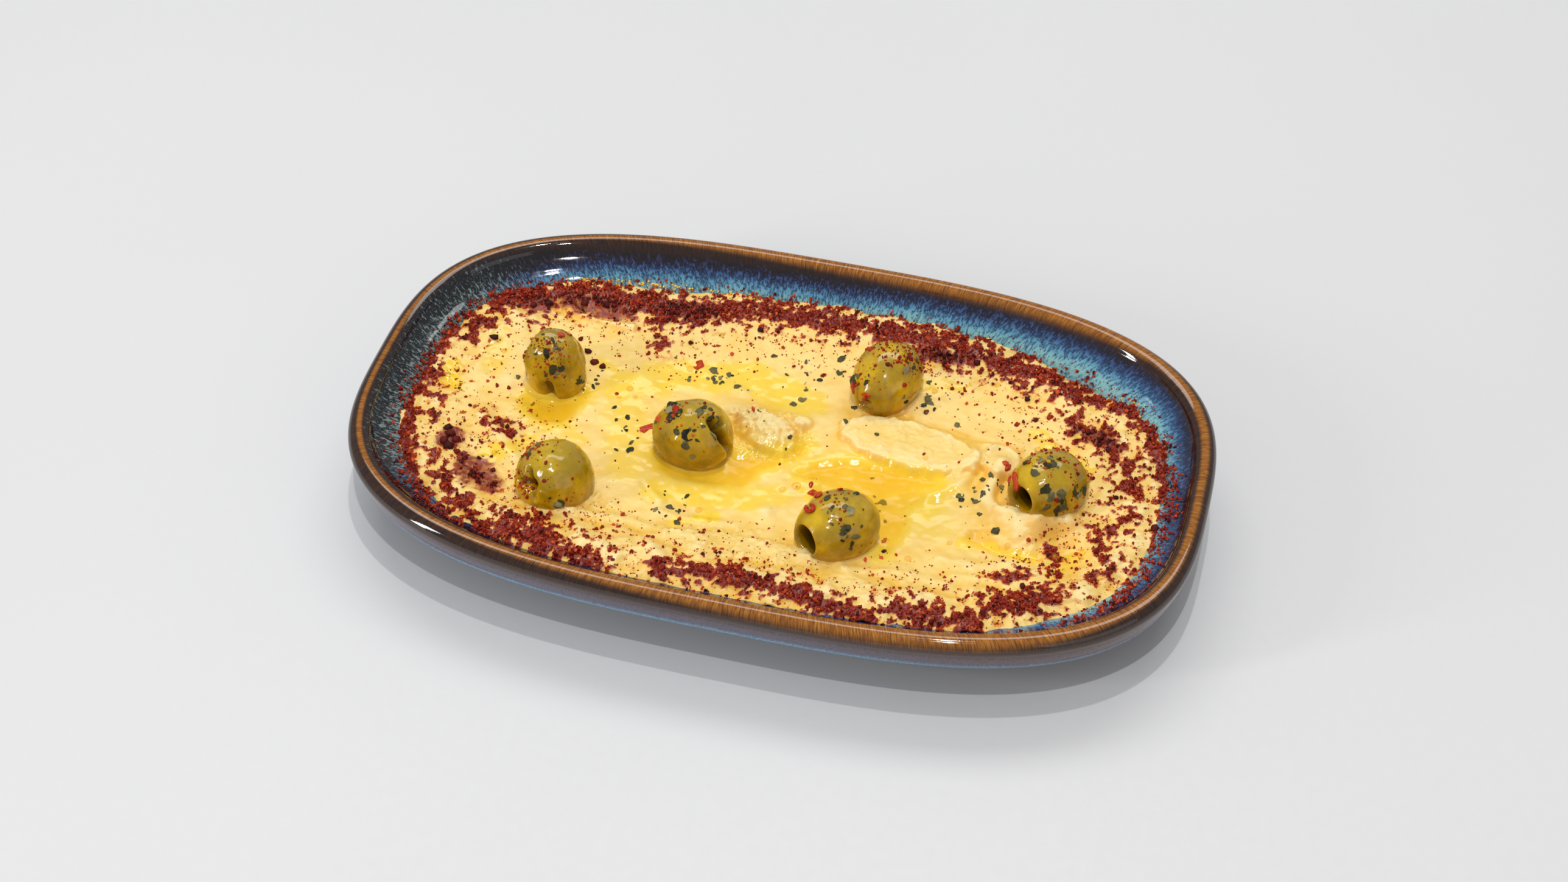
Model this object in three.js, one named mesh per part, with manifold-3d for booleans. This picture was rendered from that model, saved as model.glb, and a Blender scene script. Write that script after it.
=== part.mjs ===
// Hummus in an oblong stoneware dish: the spread is swirled with a spoon, heaped towards the rim,
// strewn with sumac, and holds pools of oil and six green olives.
// Millimetres, +Z up, +X along the dish; the origin is the middle of the foot, on the table.
import * as THREE from "three";
import { mergeVertices } from "three/addons/utils/BufferGeometryUtils.js";
import Module from "manifold-3d";

const wasm = await Module();
wasm.setup();

// ---- Driving dimensions ----

const GAP = 0.3; // left between pieces that touch
const DISH = { halfLength: 125, halfWidth: 75, squareness: 3, sides: 60 };
const RIM = { radius: 3.2, height: 25, firstAngle: 165, lastAngle: -25, steps: 6 };
const FLOOR = 7; // inside floor of the dish
const FOOT = { outside: 31, inside: 35, recess: 1.8 };
// Walls as [distance in from the outermost edge, height]
const INNER_WALL = [
  [42, FLOOR],
  [30, 8.2],
  [22, 12.8],
  [14, 20.2],
  [10, 22.7],
  [7.6, 24.4],
];
const OUTER_WALL = [
  [0.9, 20.6],
  [2, 17.2],
  [4, 15.1],
  [8, 12.2],
  [15, 8.6],
  [23, 5],
  [30, 1.8],
];

const SPREAD = { halfLength: 114, halfWidth: 61, columns: 42, rows: 24, overlap: 1.06 };
const LEVEL = 17.9; // hummus in the middle of the dish
const SWELL = { height: 3.3, crest: 7, outerWidth: 9, innerWidth: 14 };
const END_LIFT = { height: 1.6, from: 70, to: 112 };
const OIL = { level: 18, depth: 1.3 };
const HEADROOM = 20; // how far the cutting shapes stand over what they cut

// ---- The spoon's marks on the hummus ----

// Mounds and hollows: centre, half-sizes, turn in degrees, and height (negative for a hollow).
const MOUNDS = [
  { name: "chunk by the torn olive", at: [-7, 5], size: [7, 5], turn: -35, height: 2.8 },
  { name: "chunk behind it", at: [-15, 10], size: [7, 4], turn: -20, height: 2 },
  { name: "chunk to its right", at: [1, 9], size: [7, 5], turn: 10, height: 1.8 },
  { name: "lump on the left", at: [-43, -27], size: [5, 4], turn: 40, height: 1.7 },
  { name: "lump in the middle", at: [2, -27], size: [3, 2.5], turn: 0, height: 1.3 },
  { name: "dent, left end", at: [-87, 36], size: [8, 4.5], turn: 10, height: -2 },
  { name: "dent, back left", at: [-69, 41], size: [14, 5.5], turn: -8, height: -2.2 },
  { name: "dent, back", at: [-44, 50], size: [14, 4.5], turn: 8, height: -1.6 },
  { name: "dent, back right", at: [33, 46], size: [13, 4], turn: -4, height: -1.8 },
  { name: "low edge, back right", at: [82, 50], size: [20, 8], turn: -28, height: -4 },
  { name: "low edge, back left", at: [-56, 59], size: [28, 6], turn: 4, height: -2.4 },
  { name: "hollow, left", at: [-103, 3], size: [5, 8], turn: 0, height: -1.6 },
  { name: "hollow, right", at: [90, -24], size: [6, 10], turn: 20, height: -1.7 },
  { name: "hollow, far right", at: [88, 28], size: [7, 5], turn: 0, height: -1.2 },
  { name: "hollow, front left", at: [-83, -33], size: [10, 6], turn: -30, height: -1.4 },
];

// Flat-topped shelves with a steep edge: as mounds, with the edge's share of the half-size.
const SHELVES = [
  { name: "spoon terrace", at: [37, 9], size: [24, 10], turn: -7, height: 1.9, edge: 0.35 },
  { name: "shelf beside it", at: [64, 9], size: [6, 8], turn: 0, height: 1.7, edge: 0.4 },
];

// Ridges and grooves: a line, its half-width and its height.
const RIDGES = [
  {
    name: "curl at the end of the terrace",
    line: [[59, 15], [57, 9], [56, 2], [53, -4], [46, -8]],
    width: 2.6,
    height: 1.7,
  },
  {
    name: "fold beside the right olive",
    line: [[64, 7], [62.5, 0], [63, -7], [67, -14], [74, -18], [79, -15]],
    width: 3.4,
    height: 2.7,
  },
  { name: "lip below the right olive", line: [[69, -11], [78, -13.5], [87, -10]], width: 3.2, height: 2.9 },
  { name: "groove under the fold", line: [[62, -21], [71, -24.5], [81, -24]], width: 2, height: -1.3 },
  { name: "ripple, front right", line: [[55, -32.5], [65, -33], [73, -29.5]], width: 2.2, height: 1.1 },
  { name: "ripple, front left", line: [[-35, -24], [-28, -31]], width: 2, height: 1.1 },
  { name: "crest by the left olive", line: [[-88, -12], [-80, -19], [-73, -26]], width: 3, height: 1.6 },
  { name: "crest, back left", line: [[-91, 33], [-87, 20], [-85, 6]], width: 4.5, height: 1.5 },
];

// ---- Oil, olives and sumac ----

// Closed outlines on the hummus, anticlockwise.
const POOLS = {
  oil_centre: [
    [-37, -5], [-37.5, -12], [-33, -18], [-25, -21], [-15, -21], [-6, -19.5], [-3.5, -15.5], [-3, -11],
    [2, -7.5], [7, -2.5], [9, 3.5], [6.5, 6], [3, 1.5], [-4, -2], [-11, -5], [-20, -4], [-30, -2],
  ],
  oil_right: [
    [6, -9], [14, -18], [20, -26], [33, -31], [37, -35.5], [41, -33], [43.5, -24], [43, -15], [47, -10],
    [52, -5], [48, -0.5], [34, 1], [20, 0], [11, -3],
  ],
  oil_left: [
    [-81, -1], [-77, -6], [-70, -9], [-64, -7.5], [-62.5, -2], [-60.5, 3], [-60, 9], [-66, 10], [-72, 6],
    [-79, 4],
  ],
};

// Centre, direction of the long axis, half-length, half-width; taper narrows the end the axis points
// to. A mouth is the open pit hole at that end, dents are [direction, depth, width in radians].
const OLIVES = {
  olive_1: {
    at: [-72.5, 9.8, 24.5], axis: [-0.08, 0, 1], half: [13.2, 9.2], taper: 0.22,
    dents: [[[0.05, -0.85, -0.35], 2.2, 0.42], [[-0.95, 0.1, 0.2], 2, 0.35]],
  },
  olive_2: {
    at: [24.6, 30, 23.7], axis: [-0.24, -0.96, -0.14], half: [12.9, 10.1], taper: 0.07,
    dents: [[[-0.3, -0.95, -0.1], 1, 0.25]],
  },
  olive_3: {
    at: [-24, -7.2, 23.4], axis: [0.93, -0.22, 0.3], half: [12.7, 10.6], taper: 0.02,
    dents: [[[0.75, 0.35, 0.55], 4.2, 0.38], [[0.93, -0.25, -0.1], 2.4, 0.3]],
  },
  olive_4: {
    at: [-58, -34.2, 23.4], axis: [-0.3, -0.81, 0.5], half: [11.9, 11], taper: 0.02,
    dents: [[[-0.3, -0.81, 0.5], 2.4, 0.28]],
  },
  olive_5: {
    at: [25, -32.4, 23.4], axis: [-0.62, -0.77, 0.15], half: [13.2, 10.5], taper: 0.04,
    mouth: { radius: 4.3, depth: 15, cut: 2.2 },
  },
  olive_6: {
    at: [79.2, -1.6, 23.6], axis: [-0.55, -0.81, 0.18], half: [12.8, 10.3], taper: 0.04,
    mouth: { radius: 3.7, depth: 14, cut: 2 },
  },
};
const OLIVE_FACES = { around: 20, along: 12 };

// Sumac lies in drifts: a line, how far it strays from it, and how many clumps it shows.
const DRIFTS = [
  { line: [[-110, 35], [-112, 20], [-113, 4], [-112, -10], [-108, -24], [-100, -38]], stray: 1.2, clumps: 9 },
  { line: [[-106, 30], [-100, 38], [-88, 44], [-74, 49], [-60, 52]], stray: 3, clumps: 8 },
  { line: [[-56, 50], [-40, 54], [-22, 56], [-6, 56]], stray: 3, clumps: 7 },
  { line: [[16, 56], [32, 55], [46, 54], [58, 48], [72, 44]], stray: 3, clumps: 8 },
  { line: [[82, 38], [94, 34], [102, 24], [108, 10]], stray: 2.4, clumps: 6 },
  { line: [[111, -4], [109, -18], [104, -31], [96, -42]], stray: 1.2, clumps: 5 },
  { line: [[98, 4], [96, -8], [86, -24], [80, -38], [72, -43]], stray: 3, clumps: 6 },
  { line: [[-94, -34], [-82, -44], [-70, -50], [-58, -52], [-44, -55]], stray: 3.5, clumps: 7 },
  { line: [[-20, -53], [0, -51], [20, -53], [38, -56]], stray: 2, clumps: 6 },
  { line: [[46, -52], [60, -53], [68, -54]], stray: 2.5, clumps: 4 },
  { line: [[-84, -11], [-78, -14]], stray: 3, clumps: 2 },
];
const CLUMP = { smallest: 1.5, largest: 2.5, flatness: 0.7, rise: 0.15, seed: 20417 };

// ---- Outlines ----

// How far out a point is in an oblong outline: 0 in the middle, 1 on the outline.
function gauge(x, y, halfLength, halfWidth) {
  const n = DISH.squareness;
  return (Math.abs(x / halfLength) ** n + Math.abs(y / halfWidth) ** n) ** (1 / n);
}

// Points of an oblong outline at one height, anticlockwise.
function oblongRing(halfLength, halfWidth, z) {
  const ring = [];
  for (let i = 0; i < DISH.sides; i++) {
    const a = (2 * Math.PI * i) / DISH.sides;
    const k = gauge(Math.cos(a), Math.sin(a), 1, 1);
    ring.push([(halfLength * Math.cos(a)) / k, (halfWidth * Math.sin(a)) / k, z]);
  }
  return ring;
}

function dishRing([inset, z]) {
  return oblongRing(DISH.halfLength - inset, DISH.halfWidth - inset, z);
}

// The rolled rim, from the inside over the top to the outside.
function rimProfile() {
  const points = [];
  for (let i = 0; i <= RIM.steps; i++) {
    const degrees = RIM.firstAngle + ((RIM.lastAngle - RIM.firstAngle) * i) / RIM.steps;
    const a = THREE.MathUtils.degToRad(degrees);
    points.push([RIM.radius * (1 - Math.cos(a)), RIM.height + RIM.radius * Math.sin(a)]);
  }
  return points;
}

// A closed body through rings of equal count; the first and last ring are closed flat.
function loft(rings) {
  const count = rings[0].length;
  const points = rings.flat();
  const faces = [];
  for (let j = 0; j + 1 < rings.length; j++)
    for (let i = 0; i < count; i++) {
      const next = (i + 1) % count;
      const a = j * count + i;
      const b = j * count + next;
      faces.push(a, a + count, b + count, a, b + count, b);
    }
  const first = points.push([0, 0, rings[0][0][2]]) - 1;
  const last = points.push([0, 0, rings.at(-1)[0][2]]) - 1;
  const lastRing = (rings.length - 1) * count;
  for (let i = 0; i < count; i++) {
    const next = (i + 1) % count;
    faces.push(first, i, next, last, lastRing + next, lastRing + i);
  }
  return geometryOf(points, faces);
}

function geometryOf(points, faces) {
  const geometry = new THREE.BufferGeometry();
  geometry.setAttribute("position", new THREE.Float32BufferAttribute(points.flat(), 3));
  geometry.setIndex(faces);
  return geometry;
}

// ---- Joining and cutting ----

function solidOf(geometry) {
  const bare = geometry.clone();
  bare.deleteAttribute("normal");
  bare.deleteAttribute("uv");
  const merged = mergeVertices(bare, 1e-4);
  return new wasm.Manifold(
    new wasm.Mesh({
      numProp: 3,
      vertProperties: merged.attributes.position.array,
      triVerts: new Uint32Array(merged.index.array),
    }),
  );
}

function geometryOfSolid(solid) {
  const mesh = solid.getMesh();
  const geometry = new THREE.BufferGeometry();
  geometry.setAttribute("position", new THREE.BufferAttribute(mesh.vertProperties, 3));
  geometry.setIndex(new THREE.BufferAttribute(mesh.triVerts, 1));
  geometry.computeVertexNormals();
  return geometry;
}

function largestBody(solid) {
  const bodies = solid.decompose();
  return bodies.reduce((a, b) => (b.volume() > a.volume() ? b : a));
}

// ---- The dish ----

function dishGeometry() {
  const foot = [
    [FOOT.outside, 0],
    [FOOT.inside, 0],
    [FOOT.inside + 1, FOOT.recess],
  ];
  return loft([...INNER_WALL, ...rimProfile(), ...OUTER_WALL, ...foot].map(dishRing));
}

// The room inside the dish, a gap clear of its walls and open above.
function dishRoom() {
  const ceiling = RIM.height + HEADROOM;
  const mouth = [INNER_WALL.at(-1)[0] + GAP, ceiling];
  const walls = INNER_WALL.map(([inset, z]) => [inset + GAP, z + GAP]).reverse();
  return solidOf(loft([mouth, ...walls].map(dishRing)));
}

// ---- The hummus ----

// Rough distance in from the edge of the spread.
function distanceFromEdge(x, y) {
  const n = DISH.squareness;
  const g = Math.max(gauge(x, y, SPREAD.halfLength, SPREAD.halfWidth), 0.05);
  const slopeX = Math.abs(x / SPREAD.halfLength / g) ** (n - 1) / SPREAD.halfLength;
  const slopeY = Math.abs(y / SPREAD.halfWidth / g) ** (n - 1) / SPREAD.halfWidth;
  return (1 - g) / Math.hypot(slopeX, slopeY);
}

// The soft bank of hummus along the edge.
function swellHeight(x, y) {
  const inward = distanceFromEdge(x, y) - SWELL.crest;
  const width = inward < 0 ? SWELL.outerWidth : SWELL.innerWidth;
  const lift = THREE.MathUtils.smoothstep(Math.abs(x), END_LIFT.from, END_LIFT.to);
  return SWELL.height * Math.exp(-((inward / width) ** 2)) + END_LIFT.height * lift;
}

// How far out a point is in a turned ellipse: 0 in the middle, 1 on it.
function ellipseGauge(x, y, { at, size, turn }) {
  const a = THREE.MathUtils.degToRad(turn);
  const dx = x - at[0];
  const dy = y - at[1];
  const along = dx * Math.cos(a) + dy * Math.sin(a);
  const across = dy * Math.cos(a) - dx * Math.sin(a);
  return Math.hypot(along / size[0], across / size[1]);
}

function distanceToLine(x, y, line) {
  let nearest = Infinity;
  for (let i = 0; i + 1 < line.length; i++) {
    const [ax, ay] = line[i];
    const [bx, by] = line[i + 1];
    const share = ((x - ax) * (bx - ax) + (y - ay) * (by - ay)) / ((bx - ax) ** 2 + (by - ay) ** 2);
    const t = THREE.MathUtils.clamp(share, 0, 1);
    nearest = Math.min(nearest, Math.hypot(x - ax - t * (bx - ax), y - ay - t * (by - ay)));
  }
  return nearest;
}

// Height of the hummus over the table.
function spreadHeight(x, y) {
  let z = LEVEL + swellHeight(x, y);
  for (const mound of MOUNDS) z += mound.height * Math.exp(-(ellipseGauge(x, y, mound) ** 2));
  for (const shelf of SHELVES)
    z += shelf.height * (1 - THREE.MathUtils.smoothstep(ellipseGauge(x, y, shelf), 1 - shelf.edge, 1));
  for (const ridge of RIDGES)
    z += ridge.height * Math.exp(-((distanceToLine(x, y, ridge.line) / ridge.width) ** 2));
  return z;
}

// Maps a square from -1 to 1 onto the oblong, so that its border is the outline.
function spreadPoint(u, v) {
  const k = gauge(u, v, 1, 1);
  const share = k > 0 ? (SPREAD.overlap * Math.max(Math.abs(u), Math.abs(v))) / k : 0;
  return [SPREAD.halfLength * share * u, SPREAD.halfWidth * share * v];
}

// A block whose top is the swirled surface; the dish's room trims its sides and bottom.
function spreadBlock() {
  const { columns, rows } = SPREAD;
  const points = [];
  const faces = [];
  const index = (i, j) => 2 * (j * (columns + 1) + i);
  for (let j = 0; j <= rows; j++)
    for (let i = 0; i <= columns; i++) {
      const [x, y] = spreadPoint((2 * i) / columns - 1, (2 * j) / rows - 1);
      points.push([x, y, spreadHeight(x, y)], [x, y, 0]);
    }
  const quad = (a, b, c, d) => faces.push(a, b, c, a, c, d);
  for (let j = 0; j < rows; j++)
    for (let i = 0; i < columns; i++) {
      const corners = [index(i, j), index(i + 1, j), index(i + 1, j + 1), index(i, j + 1)];
      quad(...corners);
      quad(...corners.map((corner) => corner + 1).reverse());
    }
  const side = (a, b) => quad(a + 1, b + 1, b, a);
  for (let i = 0; i < columns; i++) {
    side(index(i, 0), index(i + 1, 0));
    side(index(i + 1, rows), index(i, rows));
  }
  for (let j = 0; j < rows; j++) {
    side(index(columns, j), index(columns, j + 1));
    side(index(0, j + 1), index(0, j));
  }
  return solidOf(geometryOf(points, faces));
}

// ---- Olives ----

// An olive's skin: an egg along its axis, pressed in where it is dented.
function oliveSkin({ at, axis, half, taper, dents = [] }, grow) {
  const geometry = new THREE.SphereGeometry(1, OLIVE_FACES.around, OLIVE_FACES.along);
  const along = new THREE.Vector3(...axis).normalize();
  geometry.applyQuaternion(new THREE.Quaternion().setFromUnitVectors(new THREE.Vector3(0, 1, 0), along));
  const position = geometry.attributes.position;
  const out = new THREE.Vector3();
  for (let i = 0; i < position.count; i++) {
    out.fromBufferAttribute(position, i).normalize();
    const t = out.dot(along);
    const point = out.clone().addScaledVector(along, -t).multiplyScalar(half[1] * (1 - taper * t));
    point.addScaledVector(along, t * half[0]).addScaledVector(out, grow);
    for (const [toward, depth, width] of grow > 0 ? [] : dents) {
      const angle = out.angleTo(new THREE.Vector3(...toward));
      point.addScaledVector(out, -depth * Math.exp(-((angle / width) ** 2)));
    }
    position.setXYZ(i, at[0] + point.x, at[1] + point.y, at[2] + point.z);
  }
  return solidOf(geometry);
}

// The pit hole: a round bore along the axis, whose end is cut off flat.
function pitHole({ at, axis, half, mouth }) {
  const end = half[0] - mouth.cut;
  const bore = new THREE.CylinderGeometry(mouth.radius, mouth.radius, mouth.depth, 16);
  bore.translate(0, end - mouth.depth / 2 + GAP, 0);
  const slice = new THREE.CylinderGeometry(half[1] * 2, half[1] * 2, half[0], 16);
  slice.translate(0, end + half[0] / 2, 0);
  const hole = solidOf(bore).add(solidOf(slice));
  const turn = new THREE.Quaternion().setFromUnitVectors(
    new THREE.Vector3(0, 1, 0),
    new THREE.Vector3(...axis).normalize(),
  );
  const place = new THREE.Matrix4().compose(new THREE.Vector3(...at), turn, new THREE.Vector3(1, 1, 1));
  return hole.transform(place.toArray());
}

function oliveSolid(olive) {
  const skin = oliveSkin(olive, 0);
  return olive.mouth ? largestBody(skin.subtract(pitHole(olive))) : skin;
}

// ---- Oil ----

// Moves each point of a closed anticlockwise outline inwards.
function shrink(outline, distance) {
  return outline.map((point, i) => {
    const before = outline.at(i - 1);
    const after = outline[(i + 1) % outline.length];
    const length = Math.hypot(after[0] - before[0], after[1] - before[1]);
    const inX = -(after[1] - before[1]) / length;
    const inY = (after[0] - before[0]) / length;
    return [point[0] + distance * inX, point[1] + distance * inY];
  });
}

function poolSolid(outline, bottom, top) {
  const curve = new THREE.CatmullRomCurve3(
    outline.map(([x, y]) => new THREE.Vector3(x, y, 0)),
    true,
  );
  const shape = new THREE.Shape(curve.getSpacedPoints(3 * outline.length).slice(0, -1));
  const geometry = new THREE.ExtrudeGeometry(shape, { depth: top - bottom, bevelEnabled: false });
  return solidOf(geometry.translate(0, 0, bottom));
}

// ---- Sumac ----

// Repeatable random numbers from 0 to 1.
function randomFrom(seed) {
  let state = seed;
  return () => {
    state = (Math.imul(state, 1664525) + 1013904223) >>> 0;
    return state / 2 ** 32;
  };
}

function pointOnLine(line, share) {
  const place = share * (line.length - 1);
  const i = Math.min(Math.floor(place), line.length - 2);
  const t = place - i;
  return [0, 1].map((k) => line[i][k] * (1 - t) + line[i + 1][k] * t);
}

function clumpSolid(x, y, size, random) {
  const geometry = new THREE.IcosahedronGeometry(size, 0);
  geometry.rotateX(random() * Math.PI).rotateZ(random() * Math.PI);
  geometry.scale(0.8 + 0.5 * random(), 0.8 + 0.5 * random(), CLUMP.flatness);
  return solidOf(geometry.translate(x, y, spreadHeight(x, y) + CLUMP.rise * size));
}

// True where a clump would touch an olive or a pool.
function isTaken(x, y, size) {
  const margin = size * 1.3 + GAP;
  const nearOlive = Object.values(OLIVES).some(
    ({ at, half }) => Math.hypot(x - at[0], y - at[1]) < half[0] + margin,
  );
  return nearOlive || Object.values(POOLS).some((outline) => distanceToLine(x, y, outline) < margin);
}

function sumacClumps() {
  const random = randomFrom(CLUMP.seed);
  const clumps = [];
  for (const { line, stray, clumps: count } of DRIFTS)
    for (let i = 0; i < count; i++) {
      const [lineX, lineY] = pointOnLine(line, (i + random()) / count);
      const x = lineX + stray * (2 * random() - 1);
      const y = lineY + stray * (2 * random() - 1);
      const size = THREE.MathUtils.lerp(CLUMP.largest, CLUMP.smallest, random());
      if (!isTaken(x, y, size)) clumps.push(clumpSolid(x, y, size, random));
    }
  return clumps;
}

// ---- The filled dish ----

function piece(name, geometry, color, roughness) {
  const mesh = new THREE.Mesh(
    geometry,
    new THREE.MeshStandardMaterial({ color, roughness, metalness: 0 }),
  );
  mesh.name = name;
  return mesh;
}

function spreadSolid(room) {
  let solid = spreadBlock().intersect(room);
  for (const outline of Object.values(POOLS))
    solid = solid.subtract(poolSolid(outline, OIL.level - OIL.depth, OIL.level + HEADROOM));
  for (const olive of Object.values(OLIVES)) solid = solid.subtract(oliveSkin(olive, GAP));
  const clumps = wasm.Manifold.union(sumacClumps());
  return largestBody(solid.add(clumps.intersect(room)));
}

const dish = new THREE.Group();
dish.add(piece("dish", dishGeometry(), 0x2f4f63, 0.15));
dish.add(piece("hummus", geometryOfSolid(spreadSolid(dishRoom())), 0xf3d99a, 0.45));
for (const [name, olive] of Object.entries(OLIVES))
  dish.add(piece(name, geometryOfSolid(oliveSolid(olive)), 0xa08c1e, 0.25));
for (const [name, outline] of Object.entries(POOLS)) {
  let oil = poolSolid(shrink(outline, GAP), OIL.level - OIL.depth + GAP, OIL.level);
  for (const olive of Object.values(OLIVES)) oil = oil.subtract(oliveSkin(olive, GAP));
  dish.add(piece(name, geometryOfSolid(largestBody(oil)), 0xe8b81a, 0.08));
}

export default dish;
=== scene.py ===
# Hummus in an oblong stoneware dish: reactive blue glaze with a brown rim, hummus swirled with a
# spoon, six green olives, pools of olive oil, drifts of sumac, dried herbs and bits of red pepper.
# Sizes and places are in millimetres; each mesh is brought to metres when it is done.
import math

import bmesh
import bpy
import numpy as np
from mathutils import Matrix, Vector, noise
from mathutils.bvhtree import BVHTree


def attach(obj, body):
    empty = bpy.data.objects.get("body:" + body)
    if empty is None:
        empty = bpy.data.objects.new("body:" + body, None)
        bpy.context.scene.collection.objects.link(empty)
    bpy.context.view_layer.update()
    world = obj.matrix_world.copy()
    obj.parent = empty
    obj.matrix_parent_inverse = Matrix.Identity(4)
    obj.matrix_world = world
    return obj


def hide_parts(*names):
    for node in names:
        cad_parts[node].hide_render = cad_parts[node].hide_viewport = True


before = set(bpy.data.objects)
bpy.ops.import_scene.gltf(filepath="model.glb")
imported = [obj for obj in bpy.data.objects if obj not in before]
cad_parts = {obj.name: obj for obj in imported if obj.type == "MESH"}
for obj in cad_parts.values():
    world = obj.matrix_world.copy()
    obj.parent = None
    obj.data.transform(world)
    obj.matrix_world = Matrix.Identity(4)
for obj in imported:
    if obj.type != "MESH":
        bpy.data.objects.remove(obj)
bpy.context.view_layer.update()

METRES = 0.001

# ---- Driving dimensions ----

DISH = {"half_length": 125, "half_width": 75, "squareness": 3, "sides": 320}
RIM = {"radius": 3.2, "height": 25, "first_angle": 165, "last_angle": -25, "steps": 22}
# Walls and foot as (distance in from the outermost edge, height)
INNER_WALL = [(42, 7), (30, 8.2), (22, 12.8), (14, 20.2), (10, 22.7), (7.6, 24.4)]
OUTER_WALL = [(0.9, 20.6), (2, 17.2), (4, 15.1), (8, 12.2), (15, 8.6), (23, 5), (30, 1.8)]
FOOT = [(31, 0.3), (31.4, 0), (34.6, 0), (35, 0.3), (36, 1.8)]
WALL_STEPS = 7  # between two points of a wall
OUTSIDE_RUN = 48  # from the top of the rim down the outside to the foot
GLAZE_END = -45  # the same run, from the top of the rim; below it the foot is bare

SPREAD = {"half_length": 114, "half_width": 61, "overlap": 4.5, "columns": 412, "rows": 226}
UNDERSIDE = [(14, 19), (9, 28)]  # of the hummus: height, distance in from the dish's outermost edge
LEVEL = 17.9  # of the hummus
SWELL = {"height": 3.3, "crest": 7, "outer_width": 9, "inner_width": 14}
END_LIFT = {"height": -0.3, "start": 80, "end": 112}
FRONT_LIFT = {"height": 3.9, "start": -44, "end": -61}
DRIFT_RELIEF = 0.7  # height of packed sumac
PILE = 0.9  # how high loose sumac lies on packed sumac
OIL = {"level": 17.75, "depth": 1.15, "shore": 3.4, "cell": 0.8, "reach": 5, "tuck": 0.9, "bottom": 0.6}
MENISCUS = {"height": 1.1, "reach": 0.16}
# Lumpy surface of the hummus: height, what is added near the edge, size of a bump, octaves, layer
LUMPS = [(0.46, 0.9, 9, 3, 1.0), (0.18, 0.3, 3.2, 2, 6.0)]
DIP_PASSES = 90  # how often heights are evened out to find what lies below its surroundings
OLIVE_FACES = {"around": 96, "along": 64}
HOLE_RINGS = (0.25, 0.4, 0.6, 0.8, 0.93)  # as shares of the pit hole's depth
LUMP_SIZE = 7.5  # of the lumps on an olive
PORE = {"size": 2.2, "height": 0.07}
OUTSIDE_OLIVES = 25  # from the middle of an olive
STREWN = {"half_length": 118, "half_width": 68, "height": 80}  # where sumac falls from
FLOOR_HALF = 6000
SEED = 20417

CAMERA = {
    "at": (136.75, -508.04, 541.74), "towards": (-0.18335, 0.68604, -0.70408),
    "lens": 58.21, "sensor": 36,
}
# Lamps: direction from the dish, distance and size in metres, watts; one size makes a disk
LAMPS = {
    "ceiling_lamp": ((0.04, 0, 1), 1.6, (0.03,), 4.4),
    "front_lamp": ((0.1, -0.32, 0.95), 1.6, (0.03,), 4.7),
    "back_softbox": ((-0.1, 0.5, 0.88), 1.6, (1.6, 0.5), 8.4),
    "window": ((-0.743, -0.551, 0.338), 1.2, (0.1, 0.5), 4.2),
    "right_bounce": ((0.8, -0.5, 0.35), 1.6, (1.2, 0.8), 1.5),
}
SKY_STRENGTH = 0.35

# ---- The spoon's marks on the hummus ----

# Mounds and hollows: centre, half-sizes, turn in degrees, height
MOUNDS = [
    ("chunk by the torn olive", (-7, 5), (7, 5), -35, 2.8),
    ("chunk behind it", (-15, 10), (7, 4), -20, 2),
    ("chunk to its right", (1, 9), (7, 5), 10, 1.8),
    ("lump on the left", (-43, -27), (5, 4), 40, 1.7),
    ("lump in the middle", (2, -27), (3, 2.5), 0, 1.3),
    ("dent, left end", (-87, 36), (8, 4.5), 10, -2),
    ("dent, back left", (-69, 41), (14, 5.5), -8, -2.2),
    ("dent, back", (-44, 50), (14, 4.5), 8, -1.6),
    ("dent, back right", (33, 46), (13, 4), -4, -1.8),
    ("low edge, back right", (82, 50), (20, 8), -28, -4),
    ("low edge, back left", (-56, 59), (28, 6), 4, -2.4),
    ("hollow, left", (-103, 3), (5, 8), 0, -1.6),
    ("hollow, right", (90, -24), (6, 10), 20, -1.7),
    ("hollow, far right", (88, 28), (7, 5), 0, -1.2),
    ("hollow, front left", (-83, -33), (10, 6), -30, -1.4),
    ("drop-sized lump", (-17, 19), (2.6, 2.2), 0, 0.8),
    ("lump by the dark olive", (-48, 17), (3.4, 3), 0, 0.8),
    ("crumbly lump", (11, -13), (3, 2.4), 20, 1.1),
    ("lump behind the front olive", (14, -12), (2.6, 2), 0, 0.9),
    ("bare bump at the back", (18, 58), (5, 4), 0, 1.6),
    ("soaked clump", (-95, -23), (3.4, 3.2), 0, 1.1),
]

# Flat-topped shelves with a steep edge: as mounds, with the edge's share of the half-size
SHELVES = [
    ("spoon terrace", (37, 9), (24, 10), -7, 1.9, 0.16),
    ("shelf beside it", (64, 9), (6, 8), 0, 1.7, 0.2),
    ("torn chunk", (-5, 3), (12, 7), -24, 1.8, 0.3),
    ("crumb of it", (4, 10), (4, 3), 20, 1.1, 0.5),
    ("scraped front", (-2, -44), (27, 6), 3, 0.7, 0.3),
]

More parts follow.
